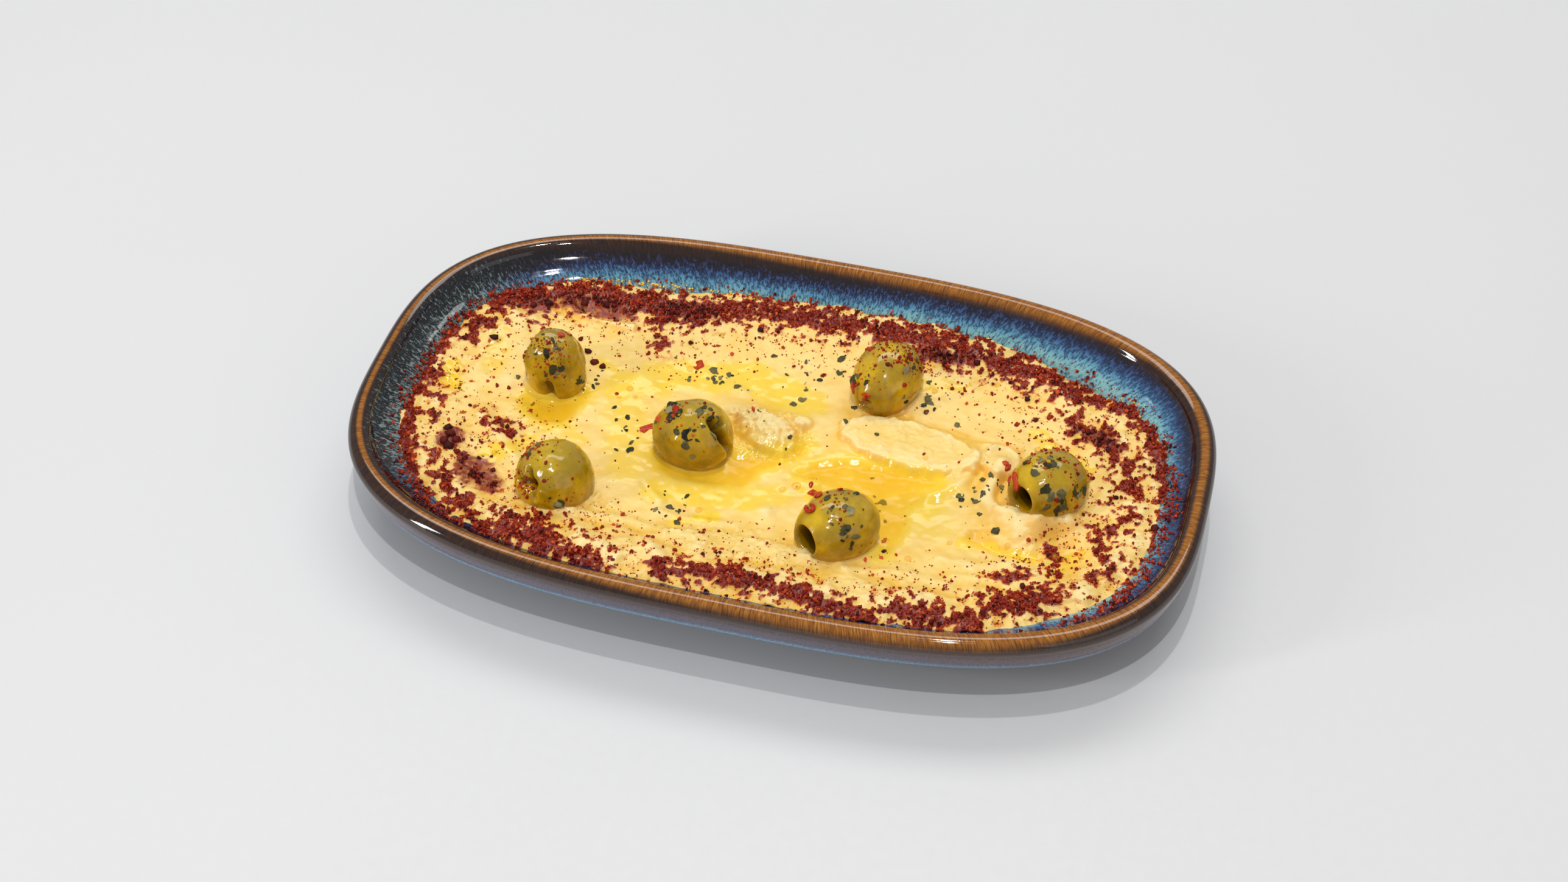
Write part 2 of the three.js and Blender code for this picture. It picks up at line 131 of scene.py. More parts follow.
# Ridges and grooves: line, half-width, height
RIDGES = [
    ("curl at the end of the terrace", [(59, 15), (57, 9), (56, 2), (53, -4), (46, -8)], 2.6, 1.7),
    ("fold beside the right olive",
     [(64, 7), (62.5, 0), (63, -7), (67, -14), (74, -18), (79, -15)], 3.4, 2.7),
    ("lip below the right olive", [(69, -11), (78, -13.5), (87, -10)], 3.2, 2.9),
    ("groove under the fold", [(62, -21), (71, -24.5), (81, -24)], 2, -1.3),
    ("ripple, front right", [(55, -32.5), (65, -33), (73, -29.5)], 2.2, 1.1),
    ("ripple, front left", [(-35, -24), (-28, -31)], 2, 1.1),
    ("crest by the left olive", [(-88, -12), (-80, -19), (-73, -26)], 3, 1.6),
    ("crest, back left", [(-91, 33), (-87, 20), (-85, 6)], 4.5, 1.5),
    ("crease over the terrace", [(30, 22), (44, 20), (58, 17), (68, 17)], 1.1, -0.7),
    ("inner crease of the fold", [(66, 2), (65.5, -5), (68, -10.5)], 0.8, -1.2),
    ("crest under the left dents", [(-95, 37), (-83, 37)], 1.3, 1.2),
    ("crest under the back dent", [(-81, 42), (-70, 38), (-57, 37)], 1.2, 1.4),
    ("flick, front right", [(60, -38), (72, -37), (84, -30)], 1.3, 0.8),
    ("flick, front", [(30, -45), (44, -41), (58, -42)], 1.5, 0.7),
    ("drag, front left", [(-52, -43), (-34, -41), (-14, -44)], 1.4, 0.6),
    ("drag, middle left", [(-33, -33), (-20, -36), (-4, -34)], 1.2, 0.5),
]

# Where the surface is crumbly instead of smooth: as mounds, with the grain's height
GRAINY = [
    ("spoon terrace", (37, 9), (26, 11), -7, 0.17),
    ("chunks by the torn olive", (-5, 4), (15, 11), -15, 0.65),
    ("front strip", (0, -42), (30, 8), 0, 0.28),
    ("front left strip", (-52, -38), (22, 9), -10, 0.26),
    ("right fold", (72, -16), (15, 9), 0, 0.2),
]

# ---- Oil ----

POOLS = {
    "oil_centre": [
        (-37, -5), (-37.5, -12), (-33, -18), (-25, -21), (-15, -21), (-6, -19.5), (-3.5, -15.5),
        (-3, -11), (2, -7.5), (7, -2.5), (9, 3.5), (6.5, 6), (3, 1.5), (-4, -2), (-11, -5),
        (-20, -4), (-30, -2),
    ],
    "oil_right": [
        (6, -9), (14, -18), (20, -26), (33, -31), (37, -35.5), (41, -33), (43.5, -24), (43, -15),
        (47, -10), (52, -5), (48, -0.5), (34, 1), (20, 0), (11, -3),
    ],
    "oil_left": [
        (-81, -1), (-77, -6), (-70, -9), (-64, -7.5), (-62.5, -2), (-60.5, 3), (-60, 9), (-66, 10),
        (-72, 6), (-79, 4),
    ],
}

# Where a thin film of oil lies on the hummus: line, half-width, strength
FILMS = [
    ([(-52, 12), (-36, 22), (-16, 26), (2, 20)], 9, 0.75),
    ([(-50, 6), (-44, -10), (-40, -20)], 9, 0.6),
    ([(-30, -26), (-12, -26), (4, -20)], 6, 0.75),
    ([(-20, -37), (-11, -32)], 2.4, 0.9),
    ([(14, -8), (30, -16), (44, -12)], 12, 0.75),
    ([(35, -22), (52, -20)], 8, 0.45),
    ([(35, 36), (45, 38)], 4, 0.7),
    ([(-82, -26), (-73, -17)], 4, 0.8),
    ([(-105, 8), (-102, 0)], 4, 0.9),
    ([(-96, 26), (-93, 12)], 5, 0.5),
    ([(72, 24), (80, 18), (88, 14)], 3.5, 0.75),
    ([(92, -20), (86, -28)], 4, 0.6),
    ([(-62, 20), (-48, 14)], 3, 0.7),
    ([(-11, 3), (4, 0)], 5, 0.45),
    ([(60, -24), (80, -25)], 2.4, 0.8),
    ([(-70, -8), (-58, -12)], 4, 0.5),
]

# ---- Olives ----

# Centre, long axis, half-sizes, taper towards the axis; dents are (direction, depth, width in
# radians) and clefts (directions along a line, depth, width in radians); a mouth is the pit hole.
OLIVES = {
    "olive_1": {
        "at": (-72.5, 9.8, 24.5), "axis": (-0.08, 0, 1), "half": (13.2, 9.3), "taper": 0.08,
        "dents": [((0.05, -0.85, -0.35), 1.6, 0.42), ((-0.95, 0.1, 0.2), 1.8, 0.35), ((0, 0, 1), 1.3, 0.5)],
        "clefts": [
            ([(-0.95, -0.3, 0.1), (-0.85, -0.1, 0.6), (-0.6, 0.1, 0.9)], 2.6, 0.13),
            ([(0.12, -0.95, -0.5), (0.05, -0.97, -0.12)], 2.2, 0.17),
            ([(0.6, -0.7, 0.6), (0.75, -0.6, 0.1)], 0.7, 0.12),
        ],
        "lumpiness": 0.8,
    },
    "olive_2": {
        "at": (24.6, 30, 23.7), "axis": (-0.24, -0.96, -0.14), "half": (12.9, 10.1), "taper": 0.07,
        "dents": [((-0.3, -0.95, -0.1), 1, 0.25)],
        "clefts": [
            ([(-0.55, -0.8, -0.2), (-0.2, -0.95, 0.1)], 1.2, 0.07),
            ([(-0.6, -0.78, -0.1), (-0.62, -0.6, 0.35)], 1.0, 0.07),
            ([(-0.55, -0.8, -0.2), (-0.15, -0.95, -0.25)], 1.0, 0.06),
        ],
        "lumpiness": 0.2,
    },
    "olive_3": {
        "at": (-24, -7.2, 23.4), "axis": (0.93, -0.22, 0.3), "half": (12.7, 10.6), "taper": 0.02,
        "dents": [((0.93, 0.1, 0.2), 1.6, 0.35)],
        "clefts": [
            ([(0.48, -0.2, 0.85), (0.6, -0.33, 0.72), (0.82, -0.37, 0.43), (0.96, -0.18, -0.2)], 5.5, 0.14),
            ([(0.6, -0.33, 0.72), (0.66, -0.02, 0.72)], 2.4, 0.1),
        ],
        "lumpiness": 0.45,
    },
    "olive_4": {
        "at": (-58, -34.2, 23.4), "axis": (-0.3, -0.81, 0.5), "half": (11.9, 11), "taper": 0.02,
        "dents": [((-0.36, -0.8, 0.44), 2, 0.34)],
        "clefts": [
            ([(-0.33, -0.82, 0.46), (-0.36, -0.82, 0.42)], 4, 0.14),
            ([(-0.33, -0.82, 0.46), (-0.42, -0.55, 0.72)], 1.5, 0.08),
            ([(-0.33, -0.82, 0.46), (-0.7, -0.6, 0.3)], 1.8, 0.09),
            ([(-0.33, -0.82, 0.46), (-0.2, -0.97, 0.1)], 1.5, 0.08),
        ],
        "lumpiness": 0.5,
    },
    "olive_5": {
        "at": (25, -32.4, 23.4), "axis": (-0.62, -0.77, 0.15), "half": (13.2, 10.5), "taper": 0.04,
        "mouth": {"radius": 4.3, "depth": 15, "cut": 2.2}, "lumpiness": 0.3,
    },
    "olive_6": {
        "at": (79.2, -1.6, 23.6), "axis": (-0.55, -0.81, 0.18), "half": (12.8, 10.3), "taper": 0.04,
        "mouth": {"radius": 3.7, "depth": 14, "cut": 2}, "lumpiness": 0.3,
    },
}

# ---- Sumac ----

# Sumac, films of oil and herbs are laid out on a level plan at LEVEL, as the eye sees them over it.
# Drifts: line, half-width, how dense
DRIFTS = [
    ([(-108, 38), (-111, 24), (-113, 6), (-112, -8), (-109, -20), (-104, -32), (-97, -43),
      (-89, -50), (-82, -54)], 2.2, 1),
    ([(-101, 39), (-104, 30), (-103, 22)], 4.5, 0.75),
    ([(-104, 41), (-94, 43), (-84, 48), (-72, 51), (-60, 50), (-48, 51)], 5.4, 1),
    ([(-50, 46), (-35, 53), (-22, 56), (-8, 56), (6, 57)], 5.2, 1),
    ([(-48, 38), (-46, 33)], 4, 0.7),
    ([(18, 57), (30, 56), (44, 55)], 5.2, 1),
    ([(30, 50), (45, 50)], 4, 0.9),
    ([(50, 52.5), (62, 50), (70, 48), (80, 45)], 5, 0.95),
    ([(84, 43), (96, 41.5), (103, 34), (108.5, 24), (111.5, 13), (113.5, 2)], 3, 0.95),
    ([(82, 30), (92, 26), (99, 18), (103, 8)], 6.5, 0.75),
    ([(113, 0), (113, -12), (110, -24), (106, -34), (100, -43), (92, -50)], 2.2, 0.9),
    ([(104, 6), (101, -6), (95, -14), (100, -24)], 6, 0.65),
    ([(74, -44), (80, -42), (87, -38)], 4, 1),
    ([(75, -34), (77, -32)], 3, 0.9),
    ([(82, -18), (88, -29)], 1.5, 0.9),
    ([(-20, -55), (-8, -54), (4, -53), (20, -55), (35, -58), (42, -60)], 3.3, 1),
    ([(-72, -55), (-62, -50), (-52, -56), (-42, -58)], 5.5, 1),
    ([(-62, -47), (-58, -47)], 5, 0.8),
    ([(-93, -36), (-84, -44), (-80, -48)], 4, 0.75),
    ([(-98, -28), (-88, -38)], 3, 0.7),
    ([(46, -54), (55, -55), (66, -53), (70, -60)], 4.6, 0.95),
    ([(-85, -12), (-78, -15)], 4.6, 0.7),
    ([(-108, 6), (-110, -4), (-104, -6)], 3.5, 0.7),
    ([(-96, -20), (-92, -26), (-84, -33), (-77, -38)], 4.5, 0.55),
    ([(-100, 34), (-92, 30), (-84, 38)], 7, 0.42),
    ([(104, -4), (103, -22), (94, -32)], 7, 0.42),
    ([(60, 44), (74, 36), (86, 32)], 6, 0.45),
    ([(-104, -14), (-100, -28), (-92, -40)], 6, 0.42),
    ([(-40, 46), (-14, 50), (10, 50)], 5, 0.45),
]
# Dents where oil has soaked the sumac dark: centre, half-sizes, turn
SOAKED = [
    ((-89, 41), (6, 4), 10),
    ((-70, 45), (14, 6), -6),
    ((-44, 50), (13, 4), 8),
    ((36, 50), (10, 3.5), -4),
    ((-82, -33), (10, 5.5), -38),
    ((-95, -22), (4.5, 5), 0),
    ((90, 27), (7, 4), -20),
]
# Kinds of sumac: places tried, half-sizes, the share of stray ones anywhere and near the edge, tone
SUMAC = {
    "sumac_crumbs": {"tries": 51000, "size": (0.24, 0.74), "stray": (0.001, 0.032), "tone": 0.58},
    "sumac_grains": {"tries": 84000, "size": (0.14, 0.32), "stray": (0.004, 0.045), "tone": 0.7},
    "sumac_dust": {"tries": 150000, "size": (0.07, 0.15), "stray": (0.006, 0.06), "tone": 0.8},
}
EDGE_BAND = 30  # near the edge

# ---- Herbs and pepper ----

# Flakes of dried leaf: place on the plan, length
HERBS = [
    ((-28, 26), 3), ((-23, 25), 2.4), ((-19, 21), 2.2), ((-27, 23), 1.8), ((8, 41), 2.6), ((9, 35), 2.4),
    ((-12, 37), 2), ((-2, 37), 1.8), ((1, 21), 2.4), ((-1, 18), 2), ((-10, 13), 3.2), ((16, 15), 2),
    ((38, 30), 4), ((38, 25), 2.4), ((36, 38), 2), ((34, -15), 2.4), ((68, -17), 3.2), ((55, -6), 2),
    ((60, 2), 2.2), ((62, 4), 2.4), ((66, 0), 2.4), ((61, -4), 2.6), ((60, -7), 2.4), ((-47, 0), 2.2),
    ((-46, -5), 2), ((-42, -13), 2.4), ((-66, 11), 2.6), ((-61, 10), 2), ((-84, 8), 1.8), ((-21, -27), 2.4),
    ((-28, -34), 1.8), ((-21, -33), 1.8), ((39, -33), 2), ((14, 33), 3.4), ((-52, 3), 1.8),
    ((-34, 20), 1.6), ((-6, 30), 1.6), ((48, 22), 1.8), ((26, 12), 1.4), ((62, -12), 1.8),
]
# Small bits around them: centre, spread, how many
HERB_DUST = [
    ((-24, 22), 9, 12), ((6, 30), 10, 12), ((36, 30), 7, 8), ((60, -3), 8, 16), ((-44, -4), 7, 9),
    ((-64, 12), 7, 8), ((-22, -30), 9, 9), ((34, -18), 8, 8), ((0, 10), 30, 7), ((-70, -40), 12, 3),
]
# What sticks to the olives: olive, direction from its middle, spread in radians, flakes, crumbs
STUCK = [
    ("olive_1", (0.05, -0.45, 0.9), 0.42, 10, 44),
    ("olive_1", (-0.75, -0.35, 0.55), 0.2, 6, 10),
    ("olive_1", (0.3, -0.8, 0.35), 0.4, 6, 8),
    ("olive_2", (0.5, 0.1, 0.85), 0.45, 5, 34),
    ("olive_2", (-0.5, -0.6, 0.5), 0.4, 4, 8),
    ("olive_3", (-0.55, -0.1, 0.8), 0.36, 13, 16),
    ("olive_3", (-0.1, -0.75, 0.55), 0.5, 12, 8),
    ("olive_3", (0.35, -0.2, 0.9), 0.4, 7, 8),
    ("olive_4", (-0.6, 0.05, 0.8), 0.3, 7, 12),
    ("olive_4", (-0.5, -0.7, 0.3), 0.32, 3, 40),
    ("olive_4", (0.5, -0.8, 0.1), 0.3, 4, 4),
    ("olive_5", (0.1, -0.35, 0.9), 0.4, 9, 12),
    ("olive_5", (0.55, -0.7, 0.4), 0.3, 7, 4),
    ("olive_5", (-0.1, 0.3, 0.9), 0.3, 4, 8),
    ("olive_6", (0, -0.15, 1), 0.45, 11, 8),
    ("olive_6", (0.45, -0.8, 0.3), 0.3, 9, 4),
    ("olive_6", (0.8, -0.3, 0.4), 0.3, 5, 6),
]
# Bits of red pepper: place on the plan, length, width
PEPPER = [
    ((-39.5, -3), 5.2, 3.6), ((-38, 1.5), 2.4, 1.8), ((14, -16), 3.6, 1.8), ((12.5, -13), 2.2, 1.2),
    ((38, -29), 2, 1.3), ((66, 8.5), 3.4, 1.4), ((65, 10), 2.2, 1.4), ((67.5, 4), 3.4, 1.5),
    ((15, 31), 2.2, 1), ((19, 27.5), 3, 1.1), ((-33, 27), 3.4, 3), ((88, -2), 1.5, 1),
    ((38, 25), 1.4, 1), ((-12, 13), 1.6, 0.8),
]
# Dark lumps of sumac: place on the plan, radius
CLOTS = [
    ((-97, 23), 1.5), ((-67, 24), 1.7), ((-64, 20), 1.6), ((-61, 19), 1.3), ((-71, 29), 1.2),
    ((-19, 47), 1.4), ((-97, -18), 1.6), ((-95, -20), 2), ((-93, -22), 1.8), ((-94, -25), 1.9),
    ((-91, -27), 1.5), ((-96, -23), 1.7), ((-80, -13), 1.1), ((-83, -35), 1.1), ((-78, -31), 1),
    ((-86, 42), 1.6), ((-90, 40), 1.5), ((-75, 45), 1.6), ((-68, 46), 1.4), ((-46, 48), 1.4),
    ((36, 51), 1.5), ((48, 50), 1.3), ((66, 38), 1.3), ((70, 30), 1.1), ((90, 27), 1.7),
    ((86, 29), 1.3), ((93, 23), 1.4), ((111, -5), 1.6), ((79, -36), 1.3), ((-38, 36), 1.1),
]
# Pepper on the olives: olive, direction from its middle, half-sizes, whether it is a ring
PEPPER_STUCK = [
    ("olive_5", (-0.63, -0.24, 0.74), (2.4, 1.7, 1.5), True),
    ("olive_5", (-0.58, 0.28, 0.77), (2.2, 1.3, 1.3), True),
    ("olive_6", (-0.7, -0.5, 0.48), (2.9, 1.0, 0.8), False),
    ("olive_2", (-0.72, -0.6, 0.1), (2.2, 0.9, 0.8), False),
    ("olive_2", (-0.3, -0.85, 0.05), (2.8, 0.8, 0.7), False),
    ("olive_3", (-0.5, -0.05, 0.86), (1.5, 1.1, 0.8), False),
    ("olive_1", (0.2, 0.1, 0.97), (1.2, 0.7, 0.6), False),
]
# Drops of oil: place on the plan, radius
DROPS = [
    ((-50, 12), 1.1), ((-47.5, 9), 0.8), ((-52, 7.5), 0.7), ((-35, 25), 1.3), ((34, 36), 1.5),
    ((38.5, 34.5), 1), ((-80, -24), 1), ((5, -17), 1.2), ((8.5, -14.5), 1.5), ((12, -10.5), 1),
    ((46, -34), 1.1), ((56, -25), 0.9), ((72, -22), 1), ((86, -23), 1.2), ((90, -4), 1),
    ((-16, -31), 1.2), ((-12, -34), 0.9), ((-57, -16), 1.1), ((-50, -24), 0.9), ((42, 6), 0.8),
    ((26, 46), 1), ((56, 42), 0.9), ((-92, 18), 1), ((-30, 42), 0.9), ((73, 18), 1.2), ((77, 14), 0.8),
]
# Crumbs of hummus flicked up the wall: line on the plan, spread, how many
FLICKED = [
    ([(-80, 55), (-55, 59), (-15, 62)], 1.6, 190),
    ([(-15, 62), (12, 62)], 1.2, 40),
    ([(60, 53), (100, 44)], 1.6, 24),
]

# ---- Heights ----


def gauge(x, y, half_length, half_width):
    """How far out a point is in an oblong outline: 0 in the middle, 1 on the outline."""
    n = DISH["squareness"]
    return (np.abs(x / half_length) ** n + np.abs(y / half_width) ** n) ** (1 / n)


def smoothstep(value, low, high):
    """0 at low, 1 at high, with a soft start and end."""
    t = np.clip((value - low) / (high - low), 0, 1)
    return t * t * (3 - 2 * t)


def distance_from_edge(x, y):
    """Rough distance in from the edge of the spread."""
    n = DISH["squareness"]
    length, width = SPREAD["half_length"], SPREAD["half_width"]
    g = np.maximum(gauge(x, y, length, width), 0.05)
    slope_x = np.abs(x / length / g) ** (n - 1) / length
    slope_y = np.abs(y / width / g) ** (n - 1) / width
    return (1 - g) / np.hypot(slope_x, slope_y)


def ellipse_gauge(x, y, centre, size, turn):
    """How far out a point is in a turned ellipse: 0 in the middle, 1 on it."""
    a = math.radians(turn)
    dx, dy = x - centre[0], y - centre[1]
    along = dx * math.cos(a) + dy * math.sin(a)
    across = dy * math.cos(a) - dx * math.sin(a)
    return np.hypot(along / size[0], across / size[1])


def distance_to_line(x, y, line):
    """Distance from a line of straight runs."""
    nearest = np.full(np.shape(x), np.inf)
    for (ax, ay), (bx, by) in zip(line, line[1:]):
        share = ((x - ax) * (bx - ax) + (y - ay) * (by - ay)) / ((bx - ax) ** 2 + (by - ay) ** 2)
        t = np.clip(share, 0, 1)
        nearest = np.minimum(nearest, np.hypot(x - ax - t * (bx - ax), y - ay - t * (by - ay)))
    return nearest


def inside_outline(x, y, outline):
    """Whether a point is inside a closed outline."""
    inside = np.zeros(np.shape(x), bool)
    for (ax, ay), (bx, by) in zip(outline, outline[1:] + outline[:1]):
        crosses = (ay > y) != (by > y)
        edge_x = ax + (bx - ax) * (y - ay) / (by - ay if by != ay else 1e-9)
        inside ^= crosses & (x < edge_x)
    return inside


def depth_in_outline(x, y, outline):
    """Distance from a closed outline, positive inside."""
    distance = distance_to_line(x, y, outline + outline[:1])
    return np.where(inside_outline(x, y, outline), distance, -distance)


def unevenness(x, y, size, octaves=3, layer=0.0):
    """Repeatable uneven values of about -1 to 1, whose bumps are about size across."""
    points = zip(np.ravel(x) / size, np.ravel(y) / size)
    values = [noise.fractal((a, b, layer), 0.9, 2.1, octaves) for a, b in points]
    return np.array(values).reshape(np.shape(x))


def swell_height(x, y):
    """The soft bank of hummus along the edge."""
    inward = distance_from_edge(x, y) + 1.6 * unevenness(x, y, 13, 2, 4.0) - SWELL["crest"]
    width = np.where(inward < 0, SWELL["outer_width"], SWELL["inner_width"])
    ends = END_LIFT["height"] * smoothstep(np.abs(x), END_LIFT["start"], END_LIFT["end"])
    front = FRONT_LIFT["height"] * smoothstep(y, FRONT_LIFT["start"], FRONT_LIFT["end"])
    return SWELL["height"] * np.exp(-((inward / width) ** 2)) + ends + front


def olive_gauge(x, y, z, olive):
    """How far out a point is in an olive: 1 on its skin."""
    axis = Vector(olive["axis"]).normalized()
    dx, dy, dz = x - olive["at"][0], y - olive["at"][1], z - olive["at"][2]
    along = dx * axis.x + dy * axis.y + dz * axis.z
    across = np.sqrt(np.maximum(dx**2 + dy**2 + dz**2 - along**2, 0))
    return np.hypot(along / olive["half"][0], across / olive["half"][1])


def pool_depth(x, y):
    """How deep each pool has sunk into the hummus."""
    depth = np.zeros(np.shape(x))
    for outline in POOLS.values():
        inside = depth_in_outline(x, y, outline)
        depth = np.maximum(depth, OIL["depth"] * smoothstep(inside, -1.2, OIL["shore"]))
    return depth


def grain_height(x, y):
    """Crumbly patches, where the spoon has torn the surface."""
    height = np.zeros(np.shape(x))
    for _, centre, size, turn, grain in GRAINY:
        height = np.maximum(height, grain * smoothstep(ellipse_gauge(x, y, centre, size, turn), 1.15, 0.7))
    return height


def spread_height(x, y):
    """Height of the hummus over the table."""
    z = LEVEL + swell_height(x, y)
    for _, centre, size, turn, height in MOUNDS:
        z = z + height * np.exp(-(ellipse_gauge(x, y, centre, size, turn) ** 2))
    for _, centre, size, turn, height, edge in SHELVES:
        ragged = ellipse_gauge(x, y, centre, size, turn) + 0.09 * unevenness(x, y, 3.4, 3, 9.0)
        z = z + height * (1 - smoothstep(ragged, 1 - edge, 1))
    wander = 0.7 * unevenness(x, y, 7, 2, 2.0)
    for _, line, width, height in RIDGES:
        z = z + height * np.exp(-(((distance_to_line(x, y, line) + wander) / width) ** 2))
    near_edge = smoothstep(distance_from_edge(x, y), 26, 6)
    for height, extra, size, octaves, layer in LUMPS:
        z = z + (height + extra * near_edge) * unevenness(x, y, size, octaves, layer)
    z = z + grain_height(x, y) * (3.2 * np.abs(unevenness(x, y, 2.1, 3, 3.0)) - 0.6)
    z = z - pool_depth(x, y)
    for olive in OLIVES.values():
        outside = np.maximum(olive_gauge(x, y, z, olive) - 1, 0)
        z = z + MENISCUS["height"] * np.exp(-outside / MENISCUS["reach"])
    return z


def on_plan(x, y, z):
    """Where the eye sees a point over the plan."""
    eye_x, eye_y, eye_z = CAMERA["at"]
    share = (eye_z - LEVEL) / (eye_z - z)
    return eye_x + (x - eye_x) * share, eye_y + (y - eye_y) * share


def film_strength(x, y):
    """Where oil wets the hummus, from 0 to 1."""
    wet = np.zeros(np.shape(x))
    wander = 2.2 * unevenness(x, y, 7, 3, 12.0)
    for line, width, strength in FILMS:
        near = distance_to_line(x, y, line) + wander
        wet = np.maximum(wet, strength * smoothstep(near, width * 1.25, width * 0.35))
    for outline in POOLS.values():
        wet = np.maximum(wet, smoothstep(depth_in_outline(x, y, outline) + wander, -7, 3))
    return wet


def drift_density(x, y):
    """How thickly sumac lies, from 0 to about 1: ragged drifts, thin between them."""
    density = np.zeros(np.shape(x))
    clumps = unevenness(x, y, 2.4, 3, 21.0)
    ragged = 0.6 * unevenness(x, y, 6, 3, 20.0) + 0.85 * clumps
    for line, width, amount in DRIFTS:
        near = distance_to_line(x, y, line) / width
        core = smoothstep(1.6 * amount - 0.6 - 0.75 * near + ragged, 0.1, 0.5)
        halo = 0.6 * amount * np.exp(-((near / 2.9) ** 2)) * smoothstep(clumps, -0.12, 0.32)
        density = np.maximum(density, core + halo)
    return density


def soak(x, y):
    """Where oil has soaked the sumac, from 0 to 1."""
    wet = np.zeros(np.shape(x))
    wander = 0.35 * unevenness(x, y, 6, 3, 30.0) + 0.2 * unevenness(x, y, 1.6, 2, 31.0)
    for centre, size, turn in SOAKED:
        wet = np.maximum(wet, smoothstep(ellipse_gauge(x, y, centre, size, turn) + wander, 1.15, 0.7))
    return wet


# ---- Meshes ----


def points_of(made):
    """The places of a bmesh's vertices."""
    return np.array([v.co for v in made.verts])


def move_points(made, points):
    """Takes each vertex to its new place."""
    for vertex, point in zip(made.verts, points):
        vertex.co = point


def added(name, data):
    """A new object of the scene, at the origin."""
    made = bpy.data.objects.new(name, data)
    bpy.context.scene.collection.objects.link(made)
    return made


def mesh_of(name, made):
    """Turns a bmesh into a mesh."""
    mesh = bpy.data.meshes.new(name)
    made.to_mesh(mesh)
    made.free()
    return mesh


def placed(name, mesh, material):
    """An object of a mesh in millimetres."""
    mesh.transform(Matrix.Scale(METRES, 4))
    mesh.materials.append(material)
    return added(name, mesh)


def settled(name, mesh, material, smooth):
    """A piece of the part, which rides on its only body."""
    if smooth:
        mesh.shade_smooth()
    else:
        mesh.shade_flat()
    piece = placed(name, mesh, material)
    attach(piece, "root")
    return piece


def stands_for(node, name, made, material):
    """A smooth piece that is shown instead of a solid."""
    piece = settled(name, mesh_of(name, made), material, smooth=True)
    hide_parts(node)
    return piece


def set_values(made, **values):
    """Gives each vertex its number under each name."""
    for key, numbers in values.items():
        layer = made.verts.layers.float.new(key)
        for vertex, number in zip(made.verts, numbers):
            vertex[layer] = number


def joined_copies(name, shapes, places, turns, sizes, values, material, smooth):
    """One piece of many small copies; shapes are (points, faces), used in rotation."""
    all_points, all_faces, all_values = [], [], {key: [] for key in values}
    start = 0
    for k, (points, faces) in enumerate(shapes):
        mine = slice(k, None, len(shapes))
        local = points[None] * sizes[mine][:, None, :]
        world = np.einsum("nij,nvj->nvi", turns[mine], local) + places[mine][:, None, :]
        count, corners = world.shape[:2]
        all_points.append(world.reshape(-1, 3))
        offsets = start + corners * np.arange(count)
        all_faces.append((faces[None] + offsets[:, None, None]).reshape(-1, faces.shape[1]))
        for key, numbers in values.items():
            all_values[key].append(np.repeat(numbers[mine], corners))
        start += count * corners
    mesh = bpy.data.meshes.new(name)
    mesh.from_pydata(np.concatenate(all_points), [], np.concatenate(all_faces))
    for key, numbers in all_values.items():
        mesh.attributes.new(key, "FLOAT", "POINT").data.foreach_set("value", np.concatenate(numbers))
    settled(name, mesh, material, smooth)


def arrays_of(made):
    """A bmesh of triangles or of quads as points and faces."""
    made.verts.index_update()
    points = points_of(made)
    faces = np.array([[v.index for v in face.verts] for face in made.faces])
    made.free()
    return points, faces


def turns_on(random, normals, lean):
    """Turns that lay things on surfaces: a random spin, then a random lean of up to an angle."""
    spin = random.uniform(0, 2 * math.pi, len(normals))
    tip = random.uniform(-lean, lean, len(normals))
    turns = np.empty((len(normals), 3, 3))
    for i, normal in enumerate(normals):
        upright = Vector((0, 0, 1)).rotation_difference(Vector(normal)).to_matrix()
        turns[i] = upright @ Matrix.Rotation(spin[i], 3, "Z") @ Matrix.Rotation(tip[i], 3, "X")
    return turns


# ---- Shader building ----


def colour(text):
    """Linear colour from a hexadecimal one."""
    parts = [int(text[i:i + 2], 16) / 255 for i in (1, 3, 5)]
    return [c / 12.92 if c <= 0.04045 else ((c + 0.055) / 1.055) ** 2.4 for c in parts] + [1]


def put(tree, kind, inputs=None, **settings):
    """Adds a node; an input may be a value or another node's output."""
    made = tree.nodes.new("ShaderNode" + kind)
    for key, value in settings.items():
        setattr(made, key, value)
    for key, value in (inputs or {}).items():
        if isinstance(value, bpy.types.NodeSocket):
            tree.links.new(value, made.inputs[key])
        else:
            made.inputs[key].default_value = value
    return made


def maths(tree, operation, a, b=0.0, c=0.0):
    """Arithmetic on numbers."""
    return put(tree, "Math", {0: a, 1: b, 2: c}, operation=operation).outputs[0]


def times(tree, a, b):
    """One number times another."""
    return maths(tree, "MULTIPLY", a, b)


def varied(tree, value, pattern, amount):
    """A value with an uneven pattern of 0 to 1 added, so that it varies by an amount."""
    return maths(tree, "MULTIPLY_ADD", pattern, amount, maths(tree, "SUBTRACT", value, amount / 2))


def stretched(tree, place, ratio):
    """A place with each side times its ratio; a small ratio draws a pattern out."""
    return put(tree, "VectorMath", {0: place, 1: ratio}, operation="MULTIPLY").outputs[0]


def part_of(tree, vector, axis):
    """X, Y or Z of a vector."""
    return put(tree, "SeparateXYZ", {"Vector": vector}).outputs[axis]


def remap(tree, value, low, high, to_low=0.0, to_high=1.0):
    """Takes the range low to high smoothly to another one."""
    sides = {"Value": value, "From Min": low, "From Max": high, "To Min": to_low, "To Max": to_high}
    return put(tree, "MapRange", sides, interpolation_type="SMOOTHSTEP").outputs["Result"]


def mix(tree, share, first, second):
    """Blends two colours."""
    return put(tree, "Mix", {0: share, 6: first, 7: second}, data_type="RGBA").outputs[2]


def mix_value(tree, share, first, second):
    """Blends two numbers."""
    return put(tree, "Mix", {0: share, 2: first, 3: second}, data_type="FLOAT").outputs[0]


